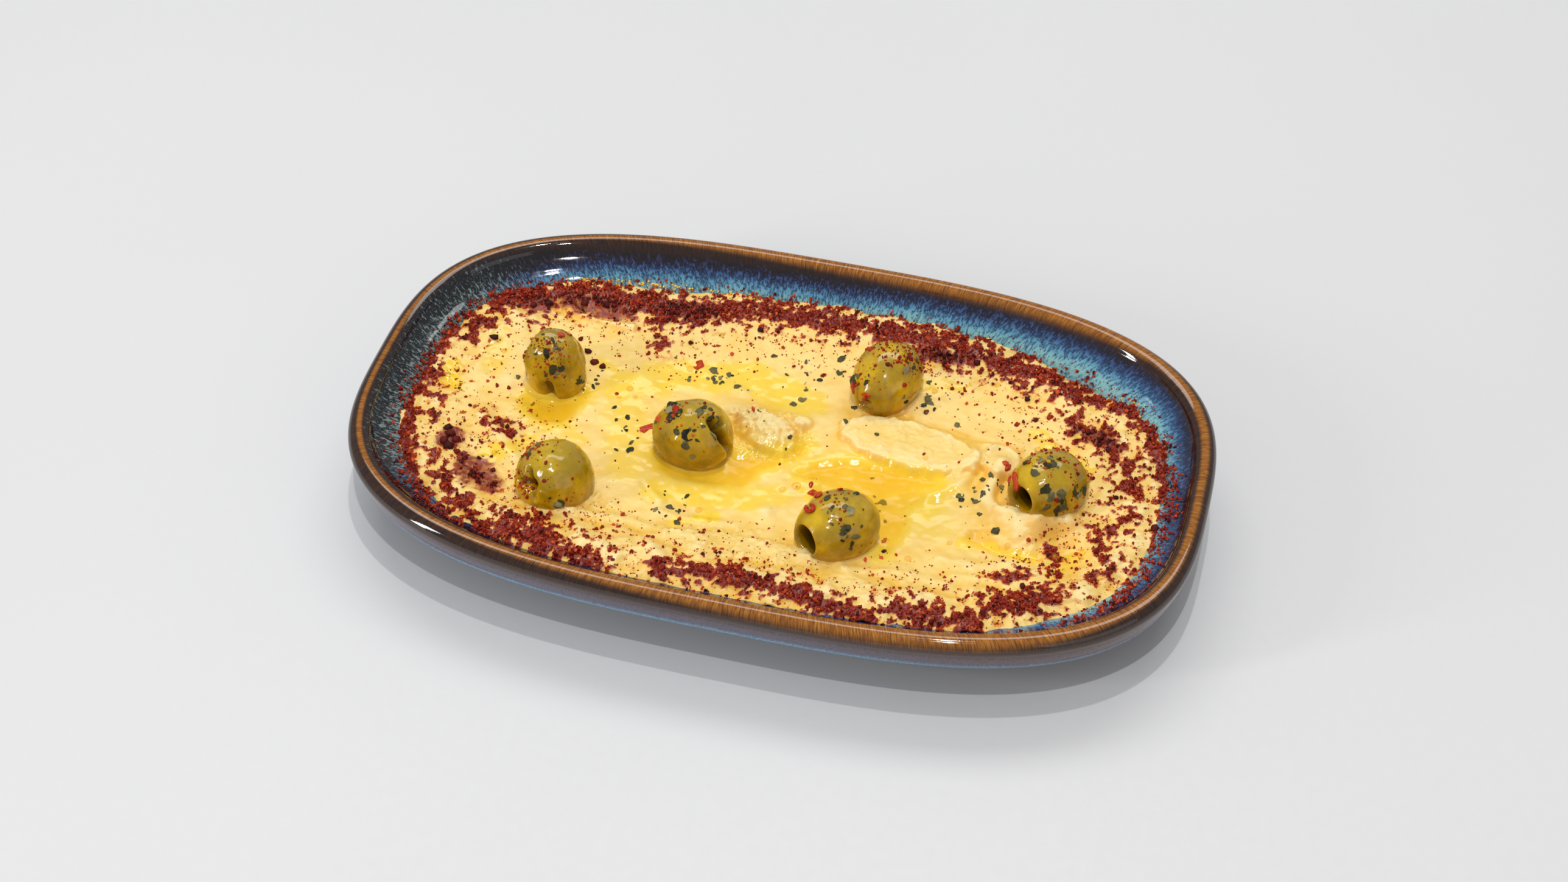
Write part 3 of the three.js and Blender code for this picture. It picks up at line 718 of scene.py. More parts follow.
def tinted(tree, base, share, text):
    """A colour with a share of another one, given in hexadecimal."""
    return mix(tree, share, base, colour(text))


def ramp(tree, share, stops):
    """A colour ramp; stops are (position, colour)."""
    made = put(tree, "ValToRGB", {"Fac": share})
    elements = made.color_ramp.elements
    while len(elements) < len(stops):
        elements.new(0.5)
    for element, (position, text) in zip(elements, stops):
        element.position = position
        element.color = colour(text)
    return made.outputs["Color"]


def attribute(tree, name, output="Fac"):
    """What a vertex holds under a name."""
    return put(tree, "Attribute", attribute_name=name).outputs[output]


def object_place(tree):
    """The place on the object, in metres."""
    return put(tree, "TexCoord").outputs["Object"]


def uneven(tree, place, scale, detail=2.0, roughness=0.55):
    """An uneven pattern of 0 to 1."""
    inputs = {"Vector": place, "Scale": scale, "Detail": detail, "Roughness": roughness}
    return put(tree, "TexNoise", inputs).outputs[0]


def new_group(name, inputs, outputs):
    """A node group that takes a place and numbers and gives numbers; inputs are {name: default}."""
    group = bpy.data.node_groups.new(name, "ShaderNodeTree")
    group.interface.new_socket("Vector", in_out="INPUT", socket_type="NodeSocketVector")
    for key, value in inputs.items():
        socket = group.interface.new_socket(key, in_out="INPUT", socket_type="NodeSocketFloat")
        socket.default_value = value
    for key in outputs:
        group.interface.new_socket(key, in_out="OUTPUT", socket_type="NodeSocketFloat")
    return group, group.nodes.new("NodeGroupInput").outputs, group.nodes.new("NodeGroupOutput").inputs


def speckle_group():
    """Specks: a mask that is 1 where a fine uneven pattern, raised by a bias, passes a threshold."""
    inputs = {"Scale": 1, "Bias": 0, "Threshold": 0.6, "Softness": 0.05}
    group, source, result = new_group("speckle", inputs, ["Mask"])
    pattern = uneven(group, source["Vector"], source["Scale"], 3)
    raised = maths(group, "ADD", pattern, source["Bias"])
    low = maths(group, "SUBTRACT", source["Threshold"], source["Softness"])
    high = maths(group, "ADD", source["Threshold"], source["Softness"])
    group.links.new(remap(group, raised, low, high), result["Mask"])
    return group


def skin_group():
    """A moist skin: a fine uneven height, and a roughness that wanders between two values."""
    inputs = {"Scale": 1, "Glossy": 0.2, "Dull": 0.5}
    group, source, result = new_group("moist_skin", inputs, ["Roughness", "Height"])
    coarse = uneven(group, source["Vector"], source["Scale"], 3, 0.6)
    fine = uneven(group, source["Vector"], times(group, source["Scale"], 4.3), 2, 0.5)
    rough = remap(group, coarse, 0.3, 0.7, source["Glossy"], source["Dull"])
    group.links.new(rough, result["Roughness"])
    group.links.new(maths(group, "MULTIPLY_ADD", fine, 0.35, coarse), result["Height"])
    return group


SPECKLE = speckle_group()
SKIN = skin_group()


def speckle(tree, place, scale, threshold=0.6, softness=0.05, bias=0.0):
    """The mask of the speckle group."""
    inputs = {"Vector": place, "Scale": scale, "Bias": bias, "Threshold": threshold, "Softness": softness}
    return put(tree, "Group", inputs, node_tree=SPECKLE).outputs["Mask"]


def new_material(name, constants=None):
    """A new material, its node tree and its shader; constants are {socket: value}."""
    material = bpy.data.materials.new(name)
    material.use_nodes = True
    tree = material.node_tree
    shader = tree.nodes["Principled BSDF"]
    for key, value in (constants or {}).items():
        shader.inputs[key].default_value = value
    return material, tree, shader


def cover(tree, shader, place, base, skin, bump, smoother=None):
    """Joins colour and moist skin to the shader.

    Skin is (scale, glossy, dull), bump is (strength, height in millimetres), and smoother is a share
    of another roughness, if there is one.
    """
    scale, glossy, dull = skin
    strength, height = bump
    inputs = {"Vector": place, "Scale": scale, "Glossy": glossy, "Dull": dull}
    moist = put(tree, "Group", inputs, node_tree=SKIN).outputs
    rough = moist["Roughness"]
    if smoother:
        share, value = smoother
        rough = mix_value(tree, share, rough, value)
    inputs = {"Height": moist["Height"], "Strength": strength, "Distance": height * METRES}
    tree.links.new(base, shader.inputs["Base Color"])
    tree.links.new(rough, shader.inputs["Roughness"])
    tree.links.new(put(tree, "Bump", inputs).outputs["Normal"], shader.inputs["Normal"])


# ---- Materials ----


def glaze_material():
    """Reactive glaze: brown where it thins on the rim, blue flecks that gather down the wall."""
    material, tree, shader = new_material("reactive_glaze", {"Specular IOR Level": 0.7})
    place = attribute(tree, "glaze_place", "Vector")
    along = part_of(tree, place, "X")
    inward = part_of(tree, place, "Z")
    streaks = uneven(tree, stretched(tree, place, (1, 1, 0.1)), 3.1, 3, 0.62)
    ragged = maths(tree, "MULTIPLY_ADD", streaks, 3, maths(tree, "SUBTRACT", inward, 1.5))
    rim = rim_glaze(tree, along, inward, streaks)
    brown_edge = remap(tree, along, -118, -70, 0.4, 3.1)
    into_wall = remap(tree, maths(tree, "SUBTRACT", ragged, brown_edge), 0, 3.2)
    inside = mix(tree, into_wall, rim, wall_glaze(tree, place, along, inward))
    outside = outside_glaze(tree, place, ragged, along)
    outside = mix(tree, remap(tree, ragged, -6.4, -4.6, 1, 0), rim, outside)
    base = mix(tree, maths(tree, "GREATER_THAN", inward, 0), outside, inside)
    bare = remap(tree, inward, GLAZE_END - 0.6, GLAZE_END + 0.6, 1, 0)
    cover(tree, shader, place, base, (0.35, 0.03, 0.08), (0.25, 0.04), (bare, 0.75))
    return material


def rim_glaze(tree, along, inward, streaks):
    """Golden brown with fine streaks across the rim, darker away from its top."""
    golden = ramp(tree, streaks, [(0.3, "#5c340e"), (0.5, "#985a16"), (0.7, "#be822c")])
    dark = ramp(tree, streaks, [(0.36, "#190d10"), (0.64, "#40240f")])
    widening = remap(tree, along, -100, 50, 1.1, 5.5)
    reach = maths(tree, "MINIMUM", widening, remap(tree, along, 70, 118, 5.5, 1.8))
    away = maths(tree, "DIVIDE", maths(tree, "ABSOLUTE", inward), reach)
    return mix(tree, remap(tree, away, 0.25, 1), golden, dark)


def wall_glaze(tree, place, along, inward):
    """Near black under the rim, then navy with flecks that turn from blue to teal."""
    drawn = stretched(tree, place, (1, 1, 0.5))
    broad = uneven(tree, place, 0.055, 2)
    far_left = remap(tree, along, -121, -98, 1, 0)
    far_right = remap(tree, along, 40, 105, 0, 0.35)
    rightwards = remap(tree, along, -124, 70, -0.22, 0.1)
    down = maths(tree, "ADD", remap(tree, inward, 3.5, 15.5), rightwards)
    down = maths(tree, "ADD", down, maths(tree, "MULTIPLY_ADD", broad, 0.5, -0.25))
    bias = times(tree, down, 0.13)
    flecks = speckle(tree, drawn, 1.2, 0.6, 0.05, bias)
    fine = speckle(tree, drawn, 2.7, 0.61, 0.05, bias)
    light = ramp(tree, down, [(0, "#2d2950"), (0.35, "#37598a"), (0.7, "#5b93b0"), (1, "#86bbbc")])
    light = tinted(tree, light, times(tree, far_left, 0.85), "#84978f")
    dark = ramp(tree, down, [(0, "#120b0c"), (0.25, "#15122a"), (0.6, "#1d3556"), (1, "#2c5a78")])
    dark = tinted(tree, dark, far_left, "#10121c")
    dark = tinted(tree, dark, times(tree, far_right, down), "#3a6296")
    return mix(tree, maths(tree, "MAXIMUM", flecks, times(tree, fine, 0.6)), dark, light)


def outside_glaze(tree, place, ragged, along):
    """Brown to violet grey, a pale blue fringe under the belly, then dark blue and the bare foot."""
    share = times(tree, ragged, -1 / OUTSIDE_RUN)
    stops = [
        (4.5, "#70441c"), (6.2, "#43302c"), (8.5, "#655a68"), (10.9, "#5d566a"), (12.4, "#74a6ca"),
        (16, "#3d6e9a"), (21, "#24405f"), (-GLAZE_END - 0.5, "#1b2438"), (-GLAZE_END + 0.5, "#a08e78"),
    ]
    tone = ramp(tree, share, [(depth / OUTSIDE_RUN, text) for depth, text in stops])
    tone = tinted(tree, tone, remap(tree, along, 10, 110, 0, 0.35), "#6b4a2c")
    return tinted(tree, tone, times(tree, speckle(tree, place, 1.7, 0.54, 0.1), 0.4), "#2c2730")


def hummus_material():
    """Smooth cream hummus, yellow under oil, stained and soaked under sumac, with painted shade in hollows,
    on slopes and between sumac crumbs, and painted highlights on crests.
    """
    material, tree, shader = new_material("hummus_cream")
    place = object_place(tree)
    film = attribute(tree, "film")
    sumac = attribute(tree, "sumac")
    oil_soak = attribute(tree, "soak")
    # Cream with painted shade in hollows and on slopes and painted highlights on crests
    oiled_cream_and_shade = oiled_cream_with_painted_shade(tree, place, film)
    halo = speckle(tree, place, 420, 0.58, 0.13, times(tree, sumac, 0.45))
    near_drift = remap(tree, sumac, 0.14, 0.5, 0, 0.9)
    base = tinted(tree, oiled_cream_and_shade, times(tree, halo, near_drift), "#e8822a")
    specks = speckle(tree, place, 1500, 0.78, 0.04, times(tree, sumac, 0.4))
    base = tinted(tree, base, times(tree, specks, 0.8), "#a8321a")
    # Dark red under dense sumac: partly a bed of sumac powder, partly painted shade between the crumbs
    bed = speckle(tree, place, 700, 0.86, 0.06, times(tree, sumac, 0.46))
    base = mix(tree, bed, base, mix(tree, specks, colour("#5c120c"), colour("#8d2414")))
    base = tinted(tree, base, times(tree, oil_soak, 0.8), "#b84a20")
    soaked = speckle(tree, place, 420, 0.8, 0.12, times(tree, oil_soak, 0.36))
    wine = ramp(tree, uneven(tree, place, 420, 3), [(0.36, "#2c0506"), (0.5, "#6c150a"), (0.66, "#a83c1a")])
    base = mix(tree, times(tree, soaked, 0.9), base, wine)
    oily = maths(tree, "MAXIMUM", film, times(tree, soaked, 0.12))
    cover(tree, shader, place, base, (650, 0.3, 0.5), (0.4, 0.15), (remap(tree, oily, 0.1, 0.7), 0.1))
    return material


def oiled_cream_with_painted_shade(tree, place, film):
    """Cream, deeper golden in hollows (partly oil gathered there, partly painted shade), with painted shade
    on slopes and a painted highlight that makes crests paler, yellow where oil lies on it.
    """
    cream = mix(tree, uneven(tree, place, 90, 3), colour("#f6c552"), colour("#ffe593"))
    dip = attribute(tree, "dip")
    # Deeper golden in hollows: partly oil gathered there, partly painted shade
    cream = tinted(tree, cream, remap(tree, dip, 0.05, 0.8, 0, 0.7), "#f4bf33")
    # Paler on crests: a painted highlight
    cream = tinted(tree, cream, remap(tree, dip, -0.9, -0.05, 0.55, 0), "#feebac")
    # Deeper golden where the surface turns from facing up: painted shade on slopes
    upward = part_of(tree, put(tree, "NewGeometry").outputs["Normal"], "Z")
    cream = tinted(tree, cream, remap(tree, upward, 0.7, 0.97, 0.6, 0), "#fab636")
    depth = varied(tree, film, uneven(tree, place, 260, 2), 0.5)
    return tinted(tree, cream, remap(tree, depth, 0.05, 1.0, 0, 0.85), "#ffd836")


def oil_material():
    """Olive oil, deeper yellow where the pool is deep."""
    material, tree, shader = new_material("olive_oil", {"IOR": 1.47})
    place = object_place(tree)
    depth = maths(tree, "SUBTRACT", attribute(tree, "depth"), 0.17)
    depth = maths(tree, "MULTIPLY_ADD", uneven(tree, place, 140, 3), 0.35, depth)
    hue = ramp(tree, depth, [(0, "#ffe03a"), (0.5, "#ffd21a"), (1, "#fcc208")])
    tree.links.new(remap(tree, depth, 0.0, 1.0, 0.04, 0.34), shader.inputs["Alpha"])
    cover(tree, shader, place, hue, (160, 0.0, 0.05), (0.15, 0.2))
    return material


def olive_material():
    """Oiled green olive skin, with a painted sheen that makes it paler on top, brown in its folds and
    painted shade that darkens the inside of the pit hole.
    """
    constants = {"Specular IOR Level": 0.5, "Coat Weight": 0.3, "Coat Roughness": 0.03}
    material, tree, shader = new_material("olive_skin", constants)
    place = object_place(tree)
    mottle = uneven(tree, place, 110, 3, 0.6)
    base = ramp(tree, mottle, [(0.3, "#8a6a00"), (0.5, "#b08600"), (0.7, "#dcae04")])
    # Paler towards the top: a painted sheen of the light from above
    height = part_of(tree, place, "Z")
    base = tinted(tree, base, remap(tree, height, 0.024, 0.037, 0, 0.4), "#c9b02c")
    base = tinted(tree, base, times(tree, speckle(tree, place, 900, 0.68, 0.04), 0.35), "#5b4a08")
    base = tinted(tree, base, attribute(tree, "fold"), "#4a3006")
    # Darker deeper into the pit hole: painted shade
    base = tinted(tree, base, attribute(tree, "hollow"), "#241304")
    cover(tree, shader, place, base, (420, 0.06, 0.22), (0.3, 0.15))
    return material


def crumb_material(name, stops, glossy, dull, grain):
    """Dried, ground or chopped bits: one tone for each bit, broken up by fine mottling."""
    material, tree, shader = new_material(name, {"Specular IOR Level": 0.25})
    place = object_place(tree)
    tone = varied(tree, attribute(tree, "tone"), uneven(tree, place, grain, 2), 0.5)
    cover(tree, shader, place, ramp(tree, tone, stops), (grain, glossy, dull), (0.6, 0.1))
    return material


def sumac_material():
    """Ground sumac, near black to orange red."""
    stops = [(0, "#300806"), (0.3, "#66120a"), (0.6, "#9a210d"), (1, "#d65a2a")]
    return crumb_material("sumac", stops, 0.5, 0.8, 1500)


def herb_material():
    """Dried leaf, near black to grey green."""
    stops = [(0, "#1d1b0e"), (0.4, "#403d20"), (0.75, "#6d6841"), (1, "#958f66")]
    return crumb_material("dried_herbs", stops, 0.3, 0.6, 900)


def pepper_material():
    """Moist red pepper."""
    stops = [(0, "#6e120a"), (0.5, "#b32a12"), (1, "#d8552a")]
    return crumb_material("red_pepper", stops, 0.12, 0.3, 500)


def floor_material():
    """A pale, smooth table top."""
    material, tree, shader = new_material("pale_table")
    place = object_place(tree)
    tone = mix(tree, uneven(tree, place, 3, 3), colour("#dcdcdd"), colour("#e4e4e4"))
    cover(tree, shader, place, tone, (300, 0.5, 0.7), (0.1, 0.2))
    return material


# ---- The dish ----


def smooth_line(points, steps):
    """A smooth line through points, with the given number of steps between two of them."""
    ends = [points[0]] + list(points) + [points[-1]]
    line = []
    for before, a, b, after in zip(ends, ends[1:], ends[2:], ends[3:]):
        before, a, b, after = map(np.array, (before, a, b, after))
        for t in np.arange(steps) / steps:
            line.append(0.5 * (2 * a + (b - before) * t + (2 * before - 5 * a + 4 * b - after) * t**2
                               + (3 * a - before - 3 * b + after) * t**3))
    return line + [np.array(points[-1])]


def rim_arc():
    """The rolled rim, from the inside over the top to the outside."""
    angles = np.radians(np.linspace(RIM["first_angle"], RIM["last_angle"], RIM["steps"]))
    radius = RIM["radius"]
    return [(radius * (1 - math.cos(a)), RIM["height"] + radius * math.sin(a)) for a in angles]


def dish_profile():
    """Points round the wall from the inside floor over the rim to under the foot."""
    arc = rim_arc()
    inner = smooth_line(INNER_WALL + arc[:1], WALL_STEPS)[:-1]
    outer = smooth_line(arc[-1:] + OUTER_WALL, WALL_STEPS)[1:]
    return np.array(inner + arc + outer + FOOT)


def close_bottom(made):
    """Fills the open border and turns the faces outward."""
    bmesh.ops.holes_fill(made, edges=[e for e in made.edges if e.is_boundary], sides=0)
    bmesh.ops.recalc_face_normals(made, faces=made.faces)


def dish_piece(material):
    """The wall's profile taken round the dish; each vertex keeps its place on the unrolled wall."""
    profile = dish_profile()
    steps = np.hypot(*np.diff(profile, axis=0).T)
    run = np.concatenate([[0], np.cumsum(steps)])
    inward = run[np.argmax(profile[:, 1])] - run
    made = bmesh.new()
    sides, rows = DISH["sides"], len(profile) - 1
    bmesh.ops.create_grid(made, x_segments=sides, y_segments=rows, size=0.5)
    flat = points_of(made)
    angle = 2 * math.pi * (flat[:, 0] + 0.5)
    row = np.rint((flat[:, 1] + 0.5) * rows).astype(int)
    inset, height = profile[row].T
    reach = gauge(np.cos(angle), np.sin(angle), 1, 1)
    across, along = np.cos(angle) / reach, np.sin(angle) / reach
    x = (DISH["half_length"] - inset) * across
    y = (DISH["half_width"] - inset) * along
    move_points(made, np.column_stack([x, y, height]))
    place = made.verts.layers.float_vector.new("glaze_place")
    ring = np.column_stack([DISH["half_length"] * across, DISH["half_width"] * along, inward[row]])
    for vertex, value in zip(made.verts, ring):
        vertex[place] = value
    bmesh.ops.remove_doubles(made, verts=made.verts, dist=1e-4)
    close_bottom(made)
    return stands_for("dish", "glazed_dish", made, material)


# ---- The hummus ----


def dips(heights):
    """How far each point of the grid lies below its surroundings."""
    field = heights.reshape(SPREAD["rows"] + 1, SPREAD["columns"] + 1)
    around = field
    for _ in range(DIP_PASSES):
        edged = np.pad(around, 1, mode="edge")
        around = (edged[:-2, 1:-1] + edged[2:, 1:-1] + edged[1:-1, :-2] + edged[1:-1, 2:]) / 4
    return (around - field).ravel()


def hummus_piece(material):
    """The spread, with what lies on it or soaks it kept at each vertex for its material, and how far each
    point lies below its surroundings, for painted shade in hollows and painted highlights on crests.
    """
    made = bmesh.new()
    bmesh.ops.create_grid(made, x_segments=SPREAD["columns"], y_segments=SPREAD["rows"], size=1)
    u, v, _ = points_of(made).T
    out = np.maximum(np.abs(u), np.abs(v))
    reach = np.where(out > 0, out / np.maximum(gauge(u, v, 1, 1), 1e-9), 0)
    x = (SPREAD["half_length"] + SPREAD["overlap"]) * reach * u
    y = (SPREAD["half_width"] + SPREAD["overlap"]) * reach * v
    z = spread_height(x, y)
    seen = on_plan(x, y, z)
    sumac = drift_density(*seen)
    packed = smoothstep(sumac, 0.45, 0.95) * (0.5 + unevenness(x, y, 1.6, 3, 50.0))
    z = z + DRIFT_RELIEF * packed
    move_points(made, np.column_stack([x, y, z]))
    set_values(made, film=film_strength(*seen), sumac=sumac, soak=soak(*seen), dip=dips(z))
    for height, inset in UNDERSIDE:
        close_down(made, height, inset)
    close_bottom(made)
    return stands_for("hummus", "hummus_spread", made, material)


def close_down(made, height, inset):
    """Takes the open border down the inside of the dish's wall."""
    border = [e for e in made.edges if e.is_boundary]
    ring = bmesh.ops.extrude_edge_only(made, edges=border)["geom"]
    length, width = DISH["half_length"] - inset, DISH["half_width"] - inset
    for vertex in (g for g in ring if isinstance(g, bmesh.types.BMVert)):
        share = 1 / gauge(vertex.co.x, vertex.co.y, length, width)
        vertex.co = (vertex.co.x * share, vertex.co.y * share, height)


# ---- Oil ----


def oil_piece(node, outline, material):
    """A pool: level on top, its border tucked under the hummus around it."""
    xs, ys = np.array(outline).T
    reach, cell = OIL["reach"], OIL["cell"]
    low, high = np.array([xs.min(), ys.min()]) - reach, np.array([xs.max(), ys.max()]) + reach
    columns, rows = np.ceil((high - low) / cell).astype(int)
    made = bmesh.new()
    bmesh.ops.create_grid(made, x_segments=columns, y_segments=rows, size=0.5)
    flat = points_of(made)
    x, y = low[:, None] + (high - low)[:, None] * (flat[:, :2].T + 0.5)
    inside = depth_in_outline(x, y, outline)
    bed = spread_height(x, y)
    sunk = OIL["tuck"] * smoothstep(inside, -1.5, -reach)
    move_points(made, np.column_stack([x, y, OIL["level"] - sunk]))
    set_values(made, depth=np.clip((OIL["level"] - bed) / OIL["depth"], 0, 1.2))
    far = [v for v, d in zip(made.verts, inside) if d < -reach]
    bmesh.ops.delete(made, geom=far, context="VERTS")
    shell = bmesh.ops.extrude_face_region(made, geom=list(made.faces))
    below = [g for g in shell["geom"] if isinstance(g, bmesh.types.BMVert)]
    bmesh.ops.translate(made, verts=below, vec=(0, 0, -OIL["depth"] - OIL["bottom"]))
    bmesh.ops.recalc_face_normals(made, faces=made.faces)
    stands_for(node, node + "_pool", made, material)


# ---- Olives ----


def olive_profile(olive):
    """Radius and height along the olive's axis, from the closed end to the tip or into the hole."""
    half_length, half_width = olive["half"]
    mouth = olive.get("mouth")
    last = math.acos((half_length - mouth["cut"]) / half_length) if mouth else 0
    angles = np.linspace(math.pi, last, OLIVE_FACES["along"])
    radius = half_width * (1 - olive["taper"] * np.cos(angles)) * np.sin(angles)
    line = list(zip(radius, half_length * np.cos(angles)))
    if mouth:  # a rounded lip, then a hole that narrows towards its end
        end, bore = line[-1][1], mouth["radius"]
        lip = (line[-1][0] + bore) / 2
        line[-1] = (line[-1][0] - 0.15, end - 0.05)
        line += [(lip + 0.25, end + 0.25), (lip - 0.3, end + 0.15)]
        line += [(bore, end - 0.5), (bore * 0.93, end - 1.6)]
        for share in HOLE_RINGS:
            line.append((bore * (0.93 - 0.35 * share**3), end - mouth["depth"] * share))
        line.append((0, end - mouth["depth"]))
    return line


def arc_distance(directions, path):
    """Distance of unit vectors from a line of directions on the unit sphere."""
    nearest = np.full(len(directions), np.inf)
    corners = [np.array(Vector(p).normalized()) for p in path]
    for a, b in zip(corners, corners[1:]):
        t = np.clip(((directions - a) @ (b - a)) / ((b - a) @ (b - a)), 0, 1)
        closest = a + t[:, None] * (b - a)
        closest /= np.linalg.norm(closest, axis=1)[:, None]
        nearest = np.minimum(nearest, np.linalg.norm(directions - closest, axis=1))
    return nearest


def turned_olive(olive):
    """The profile turned about the Z axis."""
    made = bmesh.new()
    line = [made.verts.new((radius, 0, height)) for radius, height in olive_profile(olive)]
    edges = [made.edges.new(pair) for pair in zip(line, line[1:])]
    bmesh.ops.spin(made, geom=line + edges, cent=(0, 0, 0), axis=(0, 0, 1), dvec=(0, 0, 0),
                   angle=2 * math.pi, steps=OLIVE_FACES["around"], use_merge=True, use_duplicate=False)
    bmesh.ops.remove_doubles(made, verts=made.verts, dist=1e-3)
    bmesh.ops.recalc_face_normals(made, faces=made.faces)
    return made


def pit_hole(olive, local):
    """Which points lie in the pit hole, and how deep in it they are, from 0 to 1; the depth drives the
    painted shade inside it.
    """
    if "mouth" not in olive:
        return np.zeros(len(local), bool), np.zeros(len(local))
    mouth = olive["mouth"]
    down = olive["half"][0] - mouth["cut"] - local[:, 2]
    within = np.hypot(local[:, 0], local[:, 1]) < mouth["radius"] + 0.05
    within &= down < mouth["depth"] + 0.1
    return within, np.where(within, smoothstep(down, 0.6, 7), 0)


def presses(olive, out):
    """Dents and clefts: how deep each one is, how much it folds the skin, and its share at each point."""
    for toward, depth, width in olive.get("dents", ()):
        angle = np.arccos(np.clip(out @ np.array(Vector(toward).normalized()), -1, 1))
        yield depth, 0.25, np.exp(-((angle / width) ** 2))
    for path, depth, width in olive.get("clefts", ()):
        yield depth, min(1, depth / 3), np.exp(-((arc_distance(out, path) / width) ** 3))


def bumps(points, size, layer, octaves):
    """Repeatable uneven values at points in space, whose bumps are about size across."""
    return np.array([noise.fractal(tuple(p / size + layer), 0.8, 2.1, octaves) for p in points])


def olive_piece(node, olive, material, layer):
    """An olive, laid along its axis, dented, cleft and made uneven."""
    made = turned_olive(olive)
    turn = np.array(Vector((0, 0, 1)).rotation_difference(Vector(olive["axis"])).to_matrix()).T
    local = points_of(made)
    half_length, half_width = olive["half"]
    out = local / np.array([half_width, half_width, half_length])
    out /= np.maximum(np.linalg.norm(out, axis=1), 1e-6)[:, None]
    points, out = local @ turn, out @ turn
    within, hollow = pit_hole(olive, local)
    fold = np.zeros(len(local))
    for depth, creased, share in presses(olive, out):
        points -= out * (depth * share)[:, None]
        fold = np.maximum(fold, creased * share)
    rough = olive["lumpiness"] * bumps(points, LUMP_SIZE, layer, 3)
    rough += PORE["height"] * bumps(points, PORE["size"], layer, 2)
    points += out * (np.where(within, 0.2, 1) * rough)[:, None]
    move_points(made, points + np.array(olive["at"]))
    # fold darkens the folds; hollow carries the painted shade inside the pit hole
    set_values(made, fold=fold, hollow=hollow)
    return stands_for(node, node + "_flesh", made, material)


# ---- What is strewn over it ----


def ground_of(pieces):
    """The surfaces that small things land on, as one search tree in millimetres."""
    made = bmesh.new()
    for piece in pieces:
        made.from_mesh(piece.data)
    bmesh.ops.scale(made, vec=(1 / METRES,) * 3, verts=made.verts)
    tree = BVHTree.FromBMesh(made)
    made.free()
    return tree


def landed(ground, rays):
    """Where rays, as (origin, direction), first meet the ground, and its normals there."""
    found = [ground.ray_cast(Vector(origin), Vector(direction)) for origin, direction in rays]
    found = [f for f in found if f[0] is not None]
    points = np.array([f[0] for f in found])
    normals = np.array([f[1] if f[1].z > -0.2 else -f[1] for f in found])
    return points, normals


def seen_over(ground, places):
    """What the eye sees over places on the plan."""
    eye = Vector(CAMERA["at"])
    return landed(ground, [(eye, Vector((x, y, LEVEL)) - eye) for x, y in places])


def on_olive(random, ground, node, toward, spread, count):
    """Places on an olive round a direction from its middle."""
    centre, middle = Vector(OLIVES[node]["at"]), Vector(toward).normalized()
    rays = []
    for shift in random.normal(0, spread * 0.6, (count, 3)):
        way = (middle + Vector(shift)).normalized()
        rays.append((centre + way * OUTSIDE_OLIVES, -way))
    return landed(ground, rays)


def strew(name, random, spots, lift, lean, shapes, sizes, values, material, smooth=True):
    """One piece of copies that lie on spots: lifted off them, and leaned by up to an angle."""
    places, normals = spots
    turns = turns_on(random, normals, lean)
    joined_copies(name, shapes, places + normals * lift, turns, sizes, values, material, smooth)


def crumb_shape(random, kind):
    """An angular crumb about two units across."""
    made = bmesh.new()
    if kind == "sumac_crumbs":
        bmesh.ops.create_icosphere(made, subdivisions=1, radius=1)
    elif kind == "sumac_grains":
        bmesh.ops.create_cube(made, size=1.4)
    else:
        bmesh.ops.create_cone(made, cap_ends=True, segments=3, radius1=1, radius2=0, depth=1.3)
    bmesh.ops.triangulate(made, faces=made.faces)
    move_points(made, points_of(made) * random.uniform(0.62, 1.3, (len(made.verts), 1)))
    return arrays_of(made)


def sumac_share(kind, places, seen, amount, layer):
    """The share of places that keep their sumac: clumps in the drifts, and a few strays."""
    clumps = unevenness(*seen, 3.5, 3, layer)
    edge = distance_from_edge(*seen)
    anywhere, near_edge = kind["stray"]
    stray = np.where(edge < EDGE_BAND, near_edge, anywhere) * smoothstep(clumps, -0.25, 0.5)
    share = amount * smoothstep(clumps, -0.7, 0.0)
    share = np.where(edge > -1.5, share + stray, share * smoothstep(edge, -6, -1.5))
    return share * smoothstep(distance_from_edge(places[:, 0], places[:, 1]), -6, -2.5)


def sumac_piece(name, kind, random, ground, material, layer):
    """Sumac of one size, in proportion to the drifts, and what sticks to the olives."""
    x = random.uniform(-STREWN["half_length"], STREWN["half_length"], kind["tries"])
    y = random.uniform(-STREWN["half_width"], STREWN["half_width"], kind["tries"])
    places, _ = landed(ground, [((a, b, STREWN["height"]), (0, 0, -1)) for a, b in zip(x, y)])
    seen = on_plan(*places.T)
    amount = drift_density(*seen)
    keep = random.uniform(0, 1, len(places)) < sumac_share(kind, places, seen, amount, layer)
    stuck = [on_olive(random, ground, node, toward, spread, count)[0]
             for node, toward, spread, _, count in STUCK]
    places = np.concatenate([places[keep]] + stuck)
    total = len(places)
    amount = np.concatenate([amount[keep], np.zeros(total - keep.sum())])
    smallest, largest = kind["size"]
    size = smallest + (largest - smallest) * random.uniform(0, 1, total) ** 2
    pile = smoothstep(amount, 0.6, 1.0) * random.uniform(0, 1, total) ** 1.5 * PILE
    places[:, 2] += size * 0.2 + pile
    scale = size[:, None] * random.uniform(0.6, 1.15, (total, 3))
    shapes = [crumb_shape(random, name) for _ in range(7)]
    tone = random.normal(kind["tone"], 0.27, total) - 0.4 * soak(*on_plan(*places.T))
    tone = np.clip(tone, np.where(amount < 0.2, 0.5, 0), 1)
    turns = turns_on(random, np.tile((0.0, 0.0, 1.0), (total, 1)), math.pi)
    joined_copies(name, shapes, places, turns, scale, {"tone": tone}, material, smooth=False)


